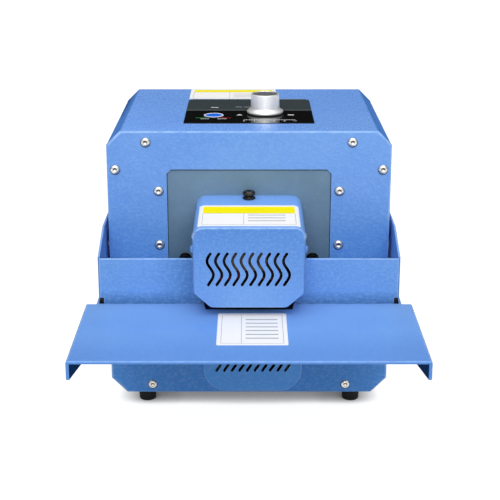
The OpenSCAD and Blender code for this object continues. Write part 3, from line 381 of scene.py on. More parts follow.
def quartz_glass(name):
    """Frosted quartz, milky where it is dusty."""
    glass = Finish(name, Transmission_Weight=0.55, IOR=1.46)
    dust = glass.noise(120.0, 4.0)
    body = glass.blend(glass.span(dust, 0.0, 1.0), (0.93, 0.88, 0.82), (0.80, 0.72, 0.64))
    glass.close(body, glass.span(dust, 0.18, 0.42), glass.noise(900.0, 2.0), 0.02, 0.4)


def circuit_board(name):
    """Green board with paler copper runs under the lacquer."""
    board = Finish(name, Coat_Weight=0.3, Coat_Roughness=0.2)
    runs = board.span(board.waves(110.0, "X", 6.0, 1.0), 0.0, 1.0, 0.72, 0.8)
    body = board.blend(runs, (0.10, 0.34, 0.19), (0.16, 0.46, 0.25))
    board.close(body, board.span(board.noise(600.0, 2.0), 0.3, 0.45), runs, 0.03)


def wound_copper(name):
    """Taped winding with the turns of wire just showing."""
    coil = Finish(name, Coat_Weight=0.2)
    turns = coil.waves(420.0, "X", 0.4)
    body = coil.blend(coil.span(turns, 0.0, 1.0, 0.2, 0.8), (0.48, 0.27, 0.13), (0.72, 0.45, 0.22))
    coil.close(body, coil.span(coil.noise(300.0, 3.0), 0.32, 0.5), turns, 0.25, 0.6)


def printed_card(name, color, pale, gloss=0.15):
    """Label stock or printing ink with paper tooth and faint soiling."""
    card = Finish(name, Specular_IOR_Level=gloss)
    tooth = card.noise(1900.0, 2.0)
    body = card.blend(card.span(card.noise(45.0, 4.0, 0.6), 0.0, 1.0, 0.4, 0.75), color, pale)
    card.close(body, card.span(tooth, 0.38, 0.5), tooth, 0.012, 0.4)


knob_low, knob_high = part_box("control_knob")
knob_axis = (knob_low + knob_high) / 2
overlay_low, overlay_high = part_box("control_overlay")
overlay_split = overlay_low.y + 62.5 * MM
hood_low, hood_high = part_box("hood")
hood_front_top = hood_high.z - HOOD_RISE
shelf_low, shelf_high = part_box("work_shelf")
guard_low, guard_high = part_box("right_guard")
case_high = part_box("wrap_cover")[1]
slot_of = {part["node"]: part["material_slot"] for part in frame["record"]["subparts"]}

# Finishes of the record's slots
powder_coat("case_paint", BLUE, BLUE_PALE, BLUE_EDGE)
satin_plate("grey_plate", SLATE, SLATE_LOW_SHADE)
brushed_metal("steel", (0.70, 0.71, 0.72), (0.58, 0.59, 0.61), 0.34, 0.12)
brushed_metal("stainless", (0.93, 0.92, 0.90), (0.83, 0.82, 0.80), 0.16, 0.06, 0.75)
brushed_metal("black_steel", (0.085, 0.083, 0.082), (0.14, 0.132, 0.125), 0.36)
brushed_metal("brass", (0.80, 0.66, 0.36), (0.70, 0.56, 0.30), 0.28)
heated_steel("heated_steel")
quartz_glass("quartz")
moulded("ceramic", (0.83, 0.80, 0.74), (0.74, 0.70, 0.63), 0.55, 700.0, 0.05)
moulded("brown_ceramic", (0.50, 0.455, 0.41), (0.42, 0.375, 0.33), 0.5, 700.0, 0.05)
moulded("red_sleeve", (0.42, 0.085, 0.07), (0.50, 0.15, 0.12), 0.5, 2200.0, 0.06)
moulded("rubber", (0.035, 0.040, 0.045), (0.060, 0.066, 0.072), 0.6, 1200.0, 0.05, Specular_IOR_Level=0.2)
moulded("black_plastic", (0.085, 0.087, 0.092), (0.13, 0.132, 0.138), 0.42)
moulded("bezel", (0.965, 0.968, 0.972), (0.92, 0.925, 0.935), 0.26, 1500.0, 0.01)
moulded("blue_plastic", (0.10, 0.46, 0.99), (0.14, 0.50, 0.99), 0.28, 1500.0, 0.015, Coat_Weight=0.15,
        Coat_Roughness=0.1)
moulded("red_plastic", (0.60, 0.06, 0.06), (0.66, 0.12, 0.11), 0.32)
printed_overlay("overlay", overlay_split, overlay_high.y)
turned_aluminium("knob_aluminium", knob_axis, (0.98, 0.985, 0.985), (0.95, 0.955, 0.96), 0.5)
circuit_board("board")
wound_copper("winding")

# Paint of the sheet pieces that differ from the plain case paint
# Front panel: painted shade that deepens towards the shelf.
powder_coat("panel_paint", BLUE, BLUE_PALE, BLUE_EDGE,
            (fading("Z", shelf_high.z + 40 * MM, shelf_high.z + 100 * MM, 0.45), BLUE_MIDDLE_SHADE),
            (fading("Z", shelf_low.z, shelf_high.z), BLUE_LOW_SHADE))
# Painted shade along the guards' side folds.
guard_fold_shade = all_masks(aside(guard_high.x - 1.9 * MM, guard_high.x - 1.3 * MM),
                       fading("Y", guard_low.y + 2.0 * MM, guard_low.y + 3.5 * MM, 0.75))
# Painted shadow of the hood on the left guard beside it.
guard_beside_hood_shadow = all_masks(fading("X", -63 * MM, -97 * MM), fading("X", -1 * MM, 1 * MM))
# Guards: a shaded copy of the blue, painted shadow of the hood on the left guard, and painted shade near the
# shelf and along the side folds.
powder_coat("guard_paint", BLUE_GUARD_SHADED, BLUE_PALE, BLUE_EDGE, (guard_beside_hood_shadow, BLUE_BESIDE_HOOD_SHADOW),
            (fading("Z", shelf_high.z + 1 * MM, shelf_high.z + 14 * MM), BLUE_CORNER_SHADE),
            over=((guard_fold_shade, BLUE_FOLD_SHADE),))
# Painted shade along the shelf's side folds.
shelf_rim_shade = all_masks(aside(shelf_high.x - 1.2 * MM, shelf_high.x - 0.7 * MM),
                      fading("Y", shelf_low.y + 2.0 * MM, shelf_low.y + 1.5 * MM, 0.8))
# Painted shade on the inner faces of the shelf's side flanges, which also shine less.
shelf_under_shade = all_masks(aside(shelf_high.x - 2.9 * MM, shelf_high.x - 3.1 * MM),
                        fading("Z", shelf_high.z - 3.1 * MM, shelf_high.z - 2.8 * MM, 0.92))
# Painted shade on the shelf's front face.
shelf_face_shade = all_masks(fading("Y", shelf_low.y + 0.25 * MM, shelf_low.y + 0.6 * MM, 0.75),
                       fading("Z", shelf_high.z - 1.4 * MM, shelf_high.z - 0.9 * MM))
# Shelf: darker towards its front edge and paler towards the guards.
powder_coat("shelf_paint", BLUE, BLUE_PALE, SHELF_EDGE,
            (fading("Y", shelf_low.y + 15 * MM, shelf_low.y + 70 * MM), SHELF_FRONT),
            (fading("Y", guard_low.y - 4 * MM, guard_low.y - 60 * MM), SHELF_REAR), leather=0.14,
            over=((shelf_face_shade, SHELF_FACE_SHADE), (shelf_rim_shade, BLUE_FOLD_SHADE), (shelf_under_shade, BLUE_UNDER_SHADE)),
            dull=shelf_under_shade)
cover_fold = case_high.x - TOP_CHAMFER
# Painted shade on the cover's upper chamfers, which also shine less.
cover_slope_shade = all_masks(aside(cover_fold - 0.8 * MM, cover_fold + 0.6 * MM),
                        fading("Z", case_high.z - TOP_CHAMFER, case_high.z - TOP_CHAMFER - 1 * MM, 0.85))
# Cover: a lighter copy of the blue, painted light on the top and sides.
powder_coat("cover_paint", BLUE_COVER_LIT, BLUE_COVER_LIT_PALE, BLUE_COVER_LIT_PALE, over=((cover_slope_shade, BLUE_FOLD_SHADE),),
            gloss=0.36, sheen=(0.22, 0.32), leather=0.1, relief=0.3, dull=cover_slope_shade)
hood_face = fading("Y", hood_low.y + 0.2 * MM, hood_low.y + 0.6 * MM)
# Painted shade along the hood's front side edges.
hood_rim_shade = all_masks(aside(hood_high.x - 2.0 * MM, hood_high.x - 0.8 * MM),
                     fading("Y", hood_low.y + 1.6 * MM, hood_low.y + 3.0 * MM, 0.7),
                     fading("Z", hood_front_top - 16 * MM, hood_front_top - 8 * MM))
# Hood: a lighter copy of the blue, painted light on the roof, painted shade high on the front face and along
# its front side edges.
powder_coat("hood_paint", BLUE_HOOD_LIT, BLUE_PALE, BLUE_EDGE,
            (fading("Z", hood_front_top - 0.5 * MM, hood_front_top - 2.5 * MM), BLUE_ROOF_LIT),
            (all_masks(hood_face, fading("Z", hood_front_top - 4 * MM, hood_low.z + 15 * MM)), BLUE_SHADE),
            over=((hood_rim_shade, BLUE_FOLD_SHADE),))
# Vent cover under the shelf: a shaded copy of the blue.
powder_coat("vent_paint", BLUE_VENT_SHADED, BLUE_VENT_SHADED_PALE, BLUE_EDGE)

# Finishes of small pieces and inks
brushed_metal("thumbscrew_metal", (0.28, 0.27, 0.26), (0.20, 0.19, 0.185), 0.12)
brushed_metal("bolt_metal", (0.17, 0.16, 0.15), (0.11, 0.105, 0.10), 0.24)
# Darker aluminium for the disc in the knob's sunk top: painted reflection.
turned_aluminium("dark_aluminium", knob_axis, (0.68, 0.69, 0.70), (0.60, 0.61, 0.62), 0.6)
printed_card("white_card", (0.993, 0.990, 0.985), (0.975, 0.975, 0.972))
printed_card("yellow_ink", (0.998, 0.945, 0.0), (0.99, 0.93, 0.02), 0.03)
printed_card("grey_ink", (0.60, 0.62, 0.64), (0.66, 0.67, 0.69))
printed_card("white_ink", (0.90, 0.91, 0.92), (0.80, 0.81, 0.83))
printed_card("green_ink", (0.16, 0.62, 0.25), (0.14, 0.55, 0.22))
printed_card("red_ink", (0.72, 0.11, 0.11), (0.64, 0.10, 0.10))


# Pieces and meshes


def new_object(name, data):
    obj = bpy.data.objects.new(name, data)
    bpy.context.scene.collection.objects.link(obj)
    return obj


def piece(name, mesh, look, slot=None, body="case", stands_for=()):
    """A finished object that rides a body and stands for nodes; slot is not used."""
    mesh.materials.clear()
    mesh.materials.append(finish[look])
    obj = new_object(name, mesh)
    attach(obj, body)
    slot or look
    if stands_for:
        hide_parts(*stands_for)


def plain_mesh(obj, name):
    """The evaluated object as a plain mesh; the object is removed."""
    graph = bpy.context.evaluated_depsgraph_get()
    mesh = bpy.data.meshes.new_from_object(obj.evaluated_get(graph), depsgraph=graph)
    mesh.name = name
    bpy.data.objects.remove(obj)
    return mesh


def mesh_of(bm, name):
    """An edit mesh as a plain mesh; the edit mesh is freed."""
    mesh = bpy.data.meshes.new(name)
    bm.to_mesh(mesh)
    bm.free()
    return mesh


def smooth(mesh, angle=35.0):
    mesh.shade_smooth()
    mesh.set_sharp_from_angle(angle=math.radians(angle))
    return mesh


def merged_node(node):
    """A CAD node's mesh as an edit mesh, with its loose triangles joined into flat faces."""
    bm = bmesh.new()
    bm.from_mesh(frame["nodes"][node].data)
    bmesh.ops.remove_doubles(bm, verts=bm.verts, dist=WELD)
    bmesh.ops.dissolve_limit(bm, angle_limit=FLAT_ANGLE, verts=bm.verts, edges=bm.edges)
    return bm


def node_islands(node):
    """Points of each separate solid of a CAD node."""
    bm = merged_node(node)
    left = set(bm.verts)
    islands = []
    for first in bm.verts:
        if first not in left:
            continue
        left.remove(first)
        stack = [first]
        found = []
        while stack:
            vert = stack.pop()
            found.append(vert.co.copy())
            near = {edge.other_vert(vert) for edge in vert.link_edges} & left
            left -= near
            stack += near
        islands.append(found)
    bm.free()
    return islands


def island_box(points):
    low = Vector(min(p[i] for p in points) for i in range(3))
    high = Vector(max(p[i] for p in points) for i in range(3))
    return low, high


def mark_inside(bm, reach):
    """Faces that look at another face of the same shell within reach: 1, else 0; these get painted shade."""
    tree = BVHTree.FromBMesh(bm)
    layer = bm.faces.layers.float.new("inside")
    for face in bm.faces:
        start = face.calc_center_median() + face.normal * OFF_FACE
        face[layer] = 1.0 if tree.ray_cast(start, face.normal, reach)[0] else 0.0


def rounded_node(node, name, radius_of, dark_inside=0.0):
    """Copy of a CAD node with rounded edges; radius_of(edge middle, edge) gives each sharp edge's radius."""
    bm = merged_node(node)
    if dark_inside:
        mark_inside(bm, dark_inside)
    weight = bm.edges.layers.float.new("bevel_weight_edge")
    for edge in bm.edges:
        if len(edge.link_faces) == 2 and edge.calc_face_angle() > SHARP_ANGLE:
            middle = (edge.verts[0].co + edge.verts[1].co) / 2
            edge[weight] = radius_of(middle, edge) / FOLD_RADIUS
            edge.smooth = edge[weight] > 0.0
    for face in bm.faces:
        face.smooth = True
    mesh = mesh_of(bm, name)
    obj = new_object(name + "_work", mesh)
    mesh.materials.append(None)
    mesh.materials.append(None)
    bevel = obj.modifiers.new("round", "BEVEL")
    bevel.limit_method = "WEIGHT"
    bevel.width = FOLD_RADIUS
    bevel.segments = 3
    bevel.material = 1
    bevel.use_clamp_overlap = False
    normals = obj.modifiers.new("normals", "WEIGHTED_NORMAL")
    normals.keep_sharp = True
    result = plain_mesh(obj, name)
    edge_mark = result.attributes.new("edge", "FLOAT", "FACE")
    edge_mark.data.foreach_set("value", [float(p.material_index) for p in result.polygons])
    for polygon in result.polygons:
        polygon.material_index = 0
    return result


def filleted(points, steps=4):
    """Points of a line whose corners are rounded; each point is (a, b) or (a, b, radius)."""
    line = []
    for i, point in enumerate(points):
        here = Vector(point[:2])
        radius = point[2] if len(point) > 2 else 0.0
        if radius == 0.0 or i in (0, len(points) - 1):
            line.append(here)
            continue
        back = (Vector(points[i - 1][:2]) - here).normalized()
        ahead = (Vector(points[i + 1][:2]) - here).normalized()
        half = back.angle(ahead) / 2
        start = here + back * radius / math.tan(half)
        end = here + ahead * radius / math.tan(half)
        centre = here + (back + ahead).normalized() * radius / math.sin(half)
        for k in range(steps + 1):
            arm = (start - centre).lerp(end - centre, k / steps)
            line.append(centre + arm.normalized() * radius)
    return line


def rounded_rectangle(width, depth, radius, steps=5):
    """Outline of a rectangle with round corners, centred on the origin."""
    points = []
    for turn, (sx, sy) in enumerate(((1, -1), (1, 1), (-1, 1), (-1, -1))):
        centre = Vector((sx * (width / 2 - radius), sy * (depth / 2 - radius)))
        for k in range(steps + 1):
            angle = math.radians(-90 + 90 * turn + 90 * k / steps)
            points.append(centre + Vector((math.cos(angle), math.sin(angle))) * radius)
    return points


def ring_mesh(name, rings):
    """Closed skin over rings of equally many points; a ring of one point is a pole."""
    bm = bmesh.new()
    rows = [[bm.verts.new(p) for p in ring] for ring in rings]
    for a, b in zip(rows, rows[1:]):
        count = max(len(a), len(b))
        for i in range(count):
            j = (i + 1) % count
            corners = [a[i % len(a)], a[j % len(a)], b[j % len(b)], b[i % len(b)]]
            bm.faces.new(list(dict.fromkeys(corners)))
    for row in (rows[0], rows[-1]):
        if len(row) > 1 and (rows[0][0].co - rows[-1][0].co).length > NO_LENGTH:
            bm.faces.new(row)
    bmesh.ops.remove_doubles(bm, verts=bm.verts, dist=NO_LENGTH)
    bmesh.ops.recalc_face_normals(bm, faces=bm.faces)
    return mesh_of(bm, name)


def turned(name, profile, centre=(0.0, 0.0), count=96):
    """Body of revolution about a vertical axis through centre; profile holds (radius, height)."""
    rings = []
    for radius, height in profile:
        if radius < NO_LENGTH:
            rings.append([Vector((centre[0], centre[1], height))])
            continue
        turn = [2 * math.pi * i / count for i in range(count)]
        rings.append([Vector((centre[0] + radius * math.cos(t), centre[1] + radius * math.sin(t), height))
                      for t in turn])
    return smooth(ring_mesh(name, rings))


def slab(name, outline, thickness, place, soft):
    """Flat plate with a soft upper edge; its outline lies in the plane of the matrix place."""
    middle = sum(outline, Vector((0.0, 0.0))) / len(outline)
    inner = [p + (middle - p).normalized() * soft for p in outline]
    levels = ((outline, 0.0), (outline, thickness - soft), (inner, thickness))
    rings = [[place @ Vector((p.x, p.y, z)) for p in line] for line, z in levels]
    return smooth(ring_mesh(name, rings), 60.0)


# Geometry node trees


class NodeShape(NodeTree):
    """A geometry node tree with named inputs that ends in Realize Instances and Set Material."""

    def __init__(self, name):
        super().__init__(bpy.data.node_groups.new(name, "GeometryNodeTree"))
        self.tree.interface.new_socket("Geometry", in_out="OUTPUT", socket_type="NodeSocketGeometry")
        self.sockets = {}
        self.input = self.node("NodeGroupInput")
        self.output = self.node("NodeGroupOutput")

    def socket(self, name, kind, default=None):
        item = self.tree.interface.new_socket(name, in_out="INPUT", socket_type="NodeSocket" + kind)
        if default is not None:
            item.default_value = default
        self.sockets[name] = item.identifier
        return self.input.outputs[name]

    def close(self, geometry):
        """Ends the tree: real geometry with the Material input on it."""
        material = self.socket("Material", "Material")
        real = self.node("GeometryNodeRealizeInstances", Geometry=geometry)
        dressed = self.node("GeometryNodeSetMaterial", Geometry=real.outputs["Geometry"], Material=material)
        self.feed(self.output.inputs["Geometry"], dressed.outputs["Geometry"])
        return self

    def mesh(self, name, look, points=None, **values):
        """Plain mesh that the tree makes on a mesh of points with these input values."""
        obj = new_object(name + "_work", points or bpy.data.meshes.new(name + "_points"))
        modifier = obj.modifiers.new("shape", "NODES")
        modifier.node_group = self.tree
        for key, value in dict(values, Material=finish[look]).items():
            modifier[self.sockets[key]] = value
        return plain_mesh(obj, name)


def copies_on_points():
    """Stands a template on every point, with its Z axis along the point's axis attribute."""
    shape = NodeShape("copies_on_points")
    points = shape.socket("Points", "Geometry")
    template = shape.socket("Template", "Object")
    source = shape.node("GeometryNodeObjectInfo", Object=template)
    axis = shape.node("GeometryNodeInputNamedAttribute", {"data_type": "FLOAT_VECTOR"}, Name="axis")
    turn = shape.node("FunctionNodeAlignRotationToVector", {"axis": "Z"}, Vector=axis.outputs["Attribute"])
    copies = shape.node("GeometryNodeInstanceOnPoints", Points=points, Instance=source.outputs["Geometry"],
                        Rotation=turn.outputs["Rotation"])
    return shape.close(copies.outputs["Instances"])


def rows_of_bars():
    """Thin flat bars repeated by a step."""
    shape = NodeShape("rows_of_bars")
    count = shape.socket("Count", "Int", 3)
    step = shape.socket("Step", "Vector")
    long = shape.socket("Length", "Float", 30 * MM)
    wide = shape.socket("Width", "Float", 0.8 * MM)
    high = shape.socket("Height", "Float", 0.1 * MM)
    row = shape.node("GeometryNodeMeshLine", Count=count, Offset=step)
    size = shape.node("ShaderNodeCombineXYZ", X=long, Y=wide, Z=high)
    bar = shape.node("GeometryNodeMeshCube", Size=size.outputs["Vector"])
    copies = shape.node("GeometryNodeInstanceOnPoints", Points=row.outputs["Mesh"],
                        Instance=bar.outputs["Mesh"])
    return shape.close(copies.outputs["Instances"])


def rim_along_edges():
    """A round bead along the edges of a wire mesh."""
    shape = NodeShape("rim_along_edges")
    wire = shape.socket("Wire", "Geometry")
    radius = shape.socket("Radius", "Float", 0.5 * MM)
    path = shape.node("GeometryNodeMeshToCurve", Mesh=wire)
    ring = shape.node("GeometryNodeCurvePrimitiveCircle", Resolution=8, Radius=radius)
    bead = shape.node("GeometryNodeCurveToMesh", Curve=path.outputs["Curve"],
                      Profile_Curve=ring.outputs["Curve"])
    soft = shape.node("GeometryNodeSetShadeSmooth", Geometry=bead.outputs["Mesh"])
    return shape.close(soft.outputs["Geometry"])


copies_tree = copies_on_points()
bar_tree = rows_of_bars()
rim_tree = rim_along_edges()


def stand_copies(name, template, places, axes, look):
    """One mesh of the template repeated at the places, each with its own axis."""
    points = bpy.data.meshes.new(name + "_points")
    points.from_pydata(places, [], [])
    attribute = points.attributes.new("axis", "FLOAT_VECTOR", "POINT")
    attribute.data.foreach_set("vector", [c for axis in axes for c in axis])
    source = new_object(name + "_template", template)
    mesh = copies_tree.mesh(name, look, points, Template=source)
    bpy.data.objects.remove(source)
    return mesh


# Screws, bolts and feet

SCREW_SIDES = 36
# A hex socket: how dark it is, the slope where light falls in, its cone's and its floor's height as shares.
SOCKET_SHADE = 0.85
SOCKET_LIT = 0.4
SOCKET_CONE = 0.25
SOCKET_FLOOR = 0.12
# Width of the key and of the shank, as shares of a domed and of a flat head.
DOME_KEY, FLAT_KEY = 0.42, 0.56
DOME_SHANK, FLAT_SHANK = 0.526, 0.588
# The dark ring under a stainless head is painted shadow: how far it shows past the head, and its thickness.
SHADOW_RING_SHOWS = 0.4 * MM
SHADOW_RING_THICK = 0.3 * MM
# Bolts beside the hood: diameter and thickness of the washer, diameters of the head and the shank.
BOLT_WASHER = (12.4 * MM, 1.4 * MM)
BOLT_HEAD = 10.0 * MM
BOLT_SHANK = BOLT_HEAD * 0.6
# A domed crown: steps of its curve, the angle it turns through and the flat share of its width.
DOME_STEPS = 6
DOME_TILT = math.radians(78.0)
DOME_FLAT = 0.42
screw_turn = [2 * math.pi * i / SCREW_SIDES for i in range(SCREW_SIDES)]


def ring(radius, z):
    """Circle of points at height z."""
    return [Vector((radius * math.cos(t), radius * math.sin(t), z)) for t in screw_turn]


def hex_ring(across, z):
    """Hexagon of as many points as a circle has, at height z."""
    points = []
    for t in screw_turn:
        reach = across / 2 / math.cos((t + math.pi / 6) % (math.pi / 3) - math.pi / 6)
        points.append(Vector((reach * math.cos(t), reach * math.sin(t), z)))
    return points


def socket_head(name, rings, key, crown, floor):
    """Skin over rings that ends in a hex socket from the crown to its floor; the sunk faces are marked."""
    socket = [hex_ring(key * 1.08, crown), hex_ring(key, crown - 0.15 * MM),
              hex_ring(key, floor + key * SOCKET_CONE), [Vector((0.0, 0.0, floor))]]
    mesh = smooth(ring_mesh(name, rings + socket), 40.0)
    layer = mesh.attributes.new("inside", "FLOAT", "FACE")
    sunk = [0.0 < p.center.z < crown - 0.1 * MM and p.center.xy.length < key * 0.58 for p in mesh.polygons]
    layer.data.foreach_set("value", [SOCKET_SHADE if down else 0.0 for down in sunk])
    return mesh


def light_sockets(mesh):
    """Fades the marks of sunk faces that look up, where light falls in."""
    for polygon, mark in zip(mesh.polygons, mesh.attributes["inside"].data):
        mark.value *= 1.0 - min(1.0, max(0.0, polygon.normal.z / SOCKET_LIT))
    return mesh


def socket_screw(name, head, head_high, shank, long, dome, washer=None):
    """Screw with a hex socket: head above z = 0, shank below; dome rounds its crown."""
    rings = [[Vector((0.0, 0.0, -long))], ring(shank * 0.42, -long), ring(shank / 2, -long + shank * 0.08),
             ring(shank / 2, 0.0)]
    base = 0.0
    if washer:
        wide, base = washer
        rings += [ring(wide / 2 - 0.1 * MM, 0.0), ring(wide / 2, 0.15 * MM),
                  ring(wide / 2, base - 0.25 * MM), ring(wide / 2 - 0.25 * MM, base)]
    crown = base + head_high
    if dome:
        for k in range(DOME_STEPS + 1):
            angle = DOME_TILT * k / DOME_STEPS
            rings.append(ring(head / 2 * (DOME_FLAT + (1.0 - DOME_FLAT) * math.cos(angle)),
                              base + head_high * math.sin(angle) / math.sin(DOME_TILT)))
    else:
        soft = 0.35 * MM
        rings += [ring(head / 2, base), ring(head / 2, crown - soft),
                  ring(head / 2 - soft * 0.3, crown - soft * 0.3), ring(head / 2 - soft, crown)]
    key = head * (DOME_KEY if dome else FLAT_KEY)
    return socket_head(name, rings, key, crown, base + head_high * SOCKET_FLOOR)


def screw_places(node):
    """Seat and axis of each screw of a CAD node; a head's diameter and height, and the length below."""
    seats, axes = [], []
    for points in node_islands(node):
        low, high = island_box(points)
        size = high - low
        k = max(range(3), key=lambda i: size[i])
        middle = (low + high) / 2
        flat = [Vector(p[i] - middle[i] for i in range(3) if i != k).length for p in points]
        widest = max(flat)
        rim = [p[k] for p, r in zip(points, flat) if r > widest * 0.995]
        upward = sum(rim) / len(rim) > middle[k]
        seat = min(rim) if upward else max(rim)
        axis = Vector((0.0, 0.0, 0.0))
        axis[k] = 1.0 if upward else -1.0
        place = middle.copy()
        place[k] = seat
        seats.append(place)
        axes.append(axis)
        high_over = high[k] - seat if upward else seat - low[k]
    return seats, axes, 2 * widest, high_over, size[k] - high_over


def screw_washer(name, inner, outer):
    """Thin dark ring under a screw's head that shows below it: painted shadow."""
    profile = [(inner / 2, 0.0), (outer / 2, 0.0), (outer / 2, SHADOW_RING_THICK * 0.6),
               (outer / 2 - 0.15 * MM, SHADOW_RING_THICK), (inner / 2, SHADOW_RING_THICK), (inner / 2, 0.0)]
    return turned(name, profile, count=40)


def screw_set(name, node, dome=True):
    """Screws with a hex socket in place of a CAD node's screws."""
    seats, axes, head, head_high, below = screw_places(node)
    shank = head * (DOME_SHANK if dome else FLAT_SHANK)
    template = socket_screw(name + "_one", head, head_high, shank, below, dome)
    look = slot_of[node]
    piece(name, light_sockets(stand_copies(name, template, seats, axes, look)), look, stands_for=(node,))
    # A dark ring under each stainless head, hung to show below it: painted shadow.
    if look == "stainless":
        washer = screw_washer(name + "_washer_one", shank + 2 * SHADOW_RING_SHOWS, head + 2 * SHADOW_RING_SHOWS)
        hung = [seat if axis.z else seat - UP * SHADOW_RING_SHOWS for seat, axis in zip(seats, axes)]
        piece(name + "_washers", stand_copies(name + "_washers", washer, hung, axes, "black_plastic"),
              "black_plastic")


def plate_bolts():
    """Large socket bolts with thick washers beside the hood."""
    seats, axes, _, over, below = screw_places("plate_bolts")
    head_high = over - BOLT_WASHER[1]
    template = socket_screw("plate_bolt_one", BOLT_HEAD, head_high, BOLT_SHANK, below, False, BOLT_WASHER)
    mesh = stand_copies("plate_bolt_set", template, seats, axes, "bolt_metal")
    piece("plate_bolt_set", mesh, "bolt_metal", "black_steel", stands_for=("plate_bolts",))


def painted_caps():
    """Painted caps over the lower screw on each side of the hood."""
    seats, axes, head, _, _ = screw_places("hood_screws")
    lowest = min(seat.z for seat in seats)
    chosen = [i for i, seat in enumerate(seats) if seat.z < lowest + 1 * MM]
    wide = head / 2 + 0.5 * MM
    tall = 3.6 * MM
    profile = filleted([(0.0, 0.0), (wide, 0.0), (wide, tall, 3.0 * MM), (0.0, tall)], 6)
    mesh = stand_copies("hood_caps", turned("hood_cap_one", profile, count=48), [seats[i] for i in chosen],
                        [axes[i] for i in chosen], "hood_paint")
    piece("hood_caps", mesh, "hood_paint", "case_paint")


def corner_plugs():
    """Black blocks of the rubber finish in the notches at the guards' lower outer corners: painted shade."""
    tall = 6.1 * MM
    deep = 4.2 * MM
    inner = guard_high.x - 5.0 * MM
    outline = ((inner, 0.0), (guard_high.x - 0.2 * MM, 0.0), (guard_high.x - 1.4 * MM, tall), (inner, tall))
    place = Matrix.Translation((0.0, guard_low.y + 0.4 * MM + deep, shelf_high.z))
    place = place @ Matrix.Rotation(math.radians(90), 4, "X")
    for side, sign in (("left", -1), ("right", 1)):
        name = "corner_plug_" + side
        mirrored = [Vector((sign * x, y)) for x, y in outline]
        piece(name, slab(name, mirrored, deep, place, 0.2 * MM), "rubber")


def rubber_feet():
    """Feet that taper to their soles and are hollow below for their screws."""
    boxes = [island_box(points) for points in node_islands("rubber_feet")]
    places = [Vector(((low.x + high.x) / 2, (low.y + high.y) / 2, low.z)) for low, high in boxes]
    low, high = boxes[0]
    tall = high.z - low.z
    wide = (high.x - low.x) / 2
    bore = 2.2 * MM
    recess = 4.4 * MM
    profile = filleted([(bore, tall), (bore, tall - 4 * MM), (recess, tall - 4 * MM),
                        (recess, 0.0, 0.3 * MM), (wide * 0.86, 0.0, 1.2 * MM),
                        (wide - 0.35 * MM, tall - 2.2 * MM, 0.6 * MM),
                        (wide, tall - 1.4 * MM, 0.4 * MM), (wide, tall - 0.2 * MM, 0.2 * MM),
                        (wide - 0.2 * MM, tall)])
    template = turned("rubber_foot_one", profile + [(bore, tall)], count=64)
    mesh = stand_copies("rubber_foot_set", template, places, [UP] * len(places), "rubber")
    piece("rubber_foot_set", mesh, "rubber", stands_for=("rubber_feet",))


for screwed in ("front", "rear", "vent", "foot", "fan", "shelf", "guard", "hood"):
    screw_set(screwed + "_screw_set", screwed + "_screws")
screw_set("bracket_bolt_set", "bracket_bolts", dome=False)
plate_bolts()
painted_caps()
corner_plugs()
rubber_feet()


# Sheet pieces

SAME_PLACE = 0.05 * MM
ALONG_AXIS = 0.99
LONG_FOLD = 150 * MM
SHORT_EDGE = 3 * MM
BLOCK_EDGE = 1.2 * MM
# An end panel's rims start at this share of its width, where its edges are longer than this.
PANEL_SIDE = 0.44
PANEL_EDGE = 2.5 * MM
PAN_FOLDS = 25 * MM
GUARD_UPPER = 20 * MM
# How far apart two faces may stand and still get painted shade between them.
HOOD_DEPTH = 120 * MM
VENT_DEPTH = 4 * MM
# Field of the slots in the hood and the vent cover: half its width, and its ends over the lower edge.
SLOTS_HALF = 43 * MM
SLOTS_LOW = 15 * MM
SLOTS_HIGH = 62 * MM
pan_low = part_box("base_pan")[0]


def same(a, b):
    """Whether two places along an axis are the same."""
    return abs(a - b) < SAME_PLACE


def runs(edge, axis):
    """Whether an edge runs along axis 0, 1 or 2."""
    return abs((edge.verts[1].co - edge.verts[0].co).normalized()[axis]) > ALONG_AXIS


def broken(edge):
    """Radius of a softly broken rim; short edges stay sharp."""
    return CUT_RADIUS if edge.calc_length() > SHORT_EDGE else 0.0


def panel_radius(node):
    """Edge radii of a flat end panel: round outside, crisp at its cut-outs and behind."""
    low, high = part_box(node)
    outer = high.y if node == "rear_panel" else low.y

    def radius(middle, edge):
        if not same(middle.y, outer):
            return 0.0
        near_side = abs(middle.x) > (high.x - low.x) * PANEL_SIDE and edge.calc_length() > PANEL_EDGE
        near_rim = min(middle.z - low.z, high.z - middle.z) < 0.1 * MM
        return PANEL_RADIUS if near_side or near_rim else FINE_RADIUS
    return radius


def slotted_radius(node, rim):
    """Edge radii of a vented front: a soft rim and crisp slots."""
    low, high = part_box(node)
    centre = (low.x + high.x) / 2

    def radius(middle, edge):
        if not same(middle.y, low.y):
            return 0.0
        slots = abs(middle.x - centre) < SLOTS_HALF and low.z + SLOTS_LOW < middle.z < low.z + SLOTS_HIGH
        return FINE_RADIUS if slots else rim
    return radius


def cover_radius(middle, edge):
    """Edge radii of the wrapped cover: its long folds are round, the rims at the panels stay sharp."""
    return FOLD_RADIUS if runs(edge, 1) and edge.calc_length() > LONG_FOLD else 0.0


def pan_radius(middle, edge):
    """Edge radii of the base: its long folds are round, its upper rims softly broken."""
    if not runs(edge, 1) or edge.calc_length() < LONG_FOLD:
        return 0.0
    return FOLD_RADIUS if middle.z < pan_low.z + PAN_FOLDS else CUT_RADIUS


def shelf_radius(middle, edge):
    """Edge radii of the shelf: its side folds are round, all other rims softly broken."""
    if runs(edge, 1) and same(abs(middle.x), shelf_high.x) and same(middle.z, shelf_high.z):
        return FOLD_RADIUS
    return SHELF_RADIUS if same(middle.y, shelf_low.y) else broken(edge)


